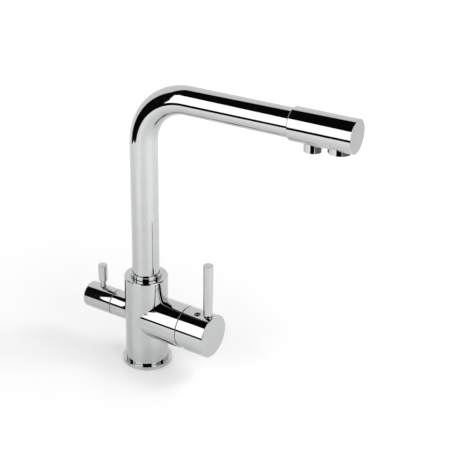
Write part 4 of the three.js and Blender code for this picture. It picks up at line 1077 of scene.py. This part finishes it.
def make_floor():
    mesh = bpy.data.meshes.new("floor")
    half = FLOOR_SIZE / 2 * MM
    corners = [(-half, -half, 0), (half, -half, 0), (half, half, 0), (-half, half, 0)]
    mesh.from_pydata(corners, [], [(0, 1, 2, 3)])
    material = bpy.data.materials.new("floor")
    material.use_nodes = True
    shader = material.node_tree.nodes["Principled BSDF"]
    shader.inputs["Base Color"].default_value = (FLOOR_SHADE, FLOOR_SHADE, FLOOR_SHADE, 1)
    shader.inputs["Roughness"].default_value = FLOOR_ROUGHNESS
    shader.inputs["Emission Color"].default_value = (1, 1, 1, 1)
    nodes = material.node_tree.nodes
    links = material.node_tree.links
    distance = nodes.new("ShaderNodeVectorMath")
    distance.operation = "LENGTH"
    links.new(nodes.new("ShaderNodeTexCoord").outputs["Object"], distance.inputs[0])
    # painted glow that rises with distance from the tap, leaving a painted shade round it
    painted_glow = nodes.new("ShaderNodeMapRange")
    painted_glow.inputs["From Min"].default_value = FLOOR_NEAR * MM
    painted_glow.inputs["From Max"].default_value = FLOOR_FAR * MM
    painted_glow.inputs["To Min"].default_value = FLOOR_NEAR_PAINTED_GLOW
    painted_glow.inputs["To Max"].default_value = FLOOR_FAR_PAINTED_GLOW
    links.new(distance.outputs["Value"], painted_glow.inputs["Value"])
    seen = nodes.new("ShaderNodeMath")
    seen.operation = "MULTIPLY"
    links.new(painted_glow.outputs["Result"], seen.inputs[0])
    links.new(seen_directly(nodes, links), seen.inputs[1])
    links.new(seen.outputs["Value"], shader.inputs["Emission Strength"])
    mesh.materials.append(material)
    found = bpy.data.objects.new("floor", mesh)
    bpy.context.scene.collection.objects.link(found)


def make_world():
    world = bpy.data.worlds.new("studio")
    bpy.context.scene.world = world
    world.use_nodes = True
    nodes = world.node_tree.nodes
    links = world.node_tree.links
    background = nodes["Background"]
    background.inputs["Color"].default_value = (1, 1, 1, 1)
    strength = nodes.new("ShaderNodeMapRange")
    strength.inputs["To Min"].default_value = SURROUNDINGS_LIGHT
    strength.inputs["To Max"].default_value = SURROUNDINGS_SEEN
    links.new(seen_directly(nodes, links), strength.inputs["Value"])
    links.new(strength.outputs["Result"], background.inputs["Strength"])


CAMERA_AZIMUTH = 31.99
CAMERA_ELEVATION = 26.75
CAMERA_ROLL = 1.06
CAMERA_DISTANCE = 1121.98
CAMERA_TARGET = (82.49, 0, 156.18)     # along the way across the picture, deep, up
CAMERA_LENS = 88.52
CAMERA_SENSOR = 36


def make_camera():
    across = Matrix.Rotation(math.radians(CAMERA_AZIMUTH), 3, "Z")
    right = across @ X
    elevation = math.radians(CAMERA_ELEVATION)
    forward = across @ Vector((0, math.cos(elevation), -math.sin(elevation)))
    up = right.cross(forward)
    roll = math.radians(CAMERA_ROLL)
    camera_right = right * math.cos(roll) + up * math.sin(roll)
    camera_up = up * math.cos(roll) - right * math.sin(roll)
    place = across @ Vector(CAMERA_TARGET) - forward * CAMERA_DISTANCE
    data = bpy.data.cameras.new("camera")
    data.lens = CAMERA_LENS
    data.sensor_width = CAMERA_SENSOR
    camera = bpy.data.objects.new("camera", data)
    bpy.context.scene.collection.objects.link(camera)
    turn = Matrix((camera_right, camera_up, -forward)).transposed()
    camera.matrix_world = Matrix.Translation(place * MM) @ turn.to_4x4()
    bpy.context.scene.camera = camera


def make_lamp():
    """A soft lamp at the right and behind, whose shadows fall towards the front."""
    light = bpy.data.lights.new("key", "AREA")
    light.shape = "DISK"
    light.size = LAMP_SIZE * MM
    light.energy = LAMP_ENERGY
    lamp = bpy.data.objects.new("key", light)
    bpy.context.scene.collection.objects.link(lamp)
    lamp.location = toward(LAMP_DIRECTION, LAMP_DISTANCE, LAMP_HEIGHT) * MM
    lamp.rotation_euler = (Z * LAMP_AIM * MM - lamp.location).to_track_quat("-Z", "Y").to_euler()
    lamp.visible_glossy = False
    lamp.visible_camera = False


def add_left_cards():
    board("left_softbox", LEFT_FACING, LEFT_DISTANCE, LEFT_SOFTBOX, WHITE_CARD, lights_floor=True)
    card("left_skirt", [
        board_place(LEFT_FACING, LEFT_DISTANCE, LEFT_NEAR, LEFT_FOOT),
        board_place(LEFT_FACING, LEFT_DISTANCE, LEFT_FAR, LEFT_FOOT),
        board_place(LEFT_FACING, SKIRT_DISTANCE, LEFT_FAR, SKIRT_FOOT),
        board_place(LEFT_FACING, SKIRT_DISTANCE, LEFT_NEAR, SKIRT_FOOT),
    ], BLACK_CARD)
    board("side_flag", SIDE_FACING, SIDE_DISTANCE, SIDE_FLAG, BLACK_CARD)
    board("front_flag", LEFT_FACING, LEFT_DISTANCE, FRONT_FLAG, BLACK_CARD)


def add_middle_flag():
    corners = upright(-MIDDLE_HALF_WIDTH, MIDDLE_HALF_WIDTH, 0, CEILING_HEIGHT)
    board("middle_flag", MIDDLE_FACING, MIDDLE_DISTANCE, corners, BLACK_CARD)


def add_right_cards():
    softbox = upright(RIGHT_NEAR, RIGHT_FAR, RIGHT_FOOT, RIGHT_TOP)
    board("right_softbox", RIGHT_FACING, RIGHT_DISTANCE, softbox, WHITE_CARD, lights_floor=True)
    skirt = upright(RIGHT_NEAR, RIGHT_FAR, 0, RIGHT_FOOT)
    board("right_skirt", RIGHT_FACING, RIGHT_DISTANCE, skirt, GREY_CARD)
    flag = upright(RIGHT_FAR, RIGHT_FLAG_END, 0, CEILING_HEIGHT)
    board("right_flag", RIGHT_FACING, RIGHT_DISTANCE, flag, BLACK_CARD)


def add_ceiling_flag():
    middle = toward(CEILING_EDGE_DIRECTION, CEILING_EDGE_DISTANCE, CEILING_HEIGHT)
    aside = toward(CEILING_EDGE_DIRECTION - SQUARE, CEILING_HALF_WIDTH, 0)
    deep = toward(CEILING_EDGE_DIRECTION + 2 * SQUARE, CEILING_DEPTH, 0)
    corners = [middle + aside, middle - aside, middle - aside + deep, middle + aside + deep]
    card("ceiling_flag", corners, BLACK_CARD)


def add_low_cards():
    card("low_grey_card", [Vector((x, y, LOW_CARD_HEIGHT)) for x, y in LOW_GREY_CARD], GREY_CARD)
    card("low_pale_card", [Vector((x, y, LOW_CARD_HEIGHT)) for x, y in LOW_PALE_CARD], PALE_CARD)


def add_reflector():
    aside = toward(REFLECTOR_FACING + SQUARE, 1, 0)
    down = toward(REFLECTOR_FACING, math.cos(REFLECTOR_SLOPE), -math.sin(REFLECTOR_SLOPE))
    middle = Z * REFLECTOR_HEIGHT
    card("reflector", [middle + aside * x + down * y for x, y in REFLECTOR], WHITE_CARD)


make_floor()
make_world()
make_lamp()
add_left_cards()
add_middle_flag()
add_right_cards()
add_ceiling_flag()
add_low_cards()
add_reflector()
make_camera()
bpy.context.scene.view_settings.view_transform = "Standard"
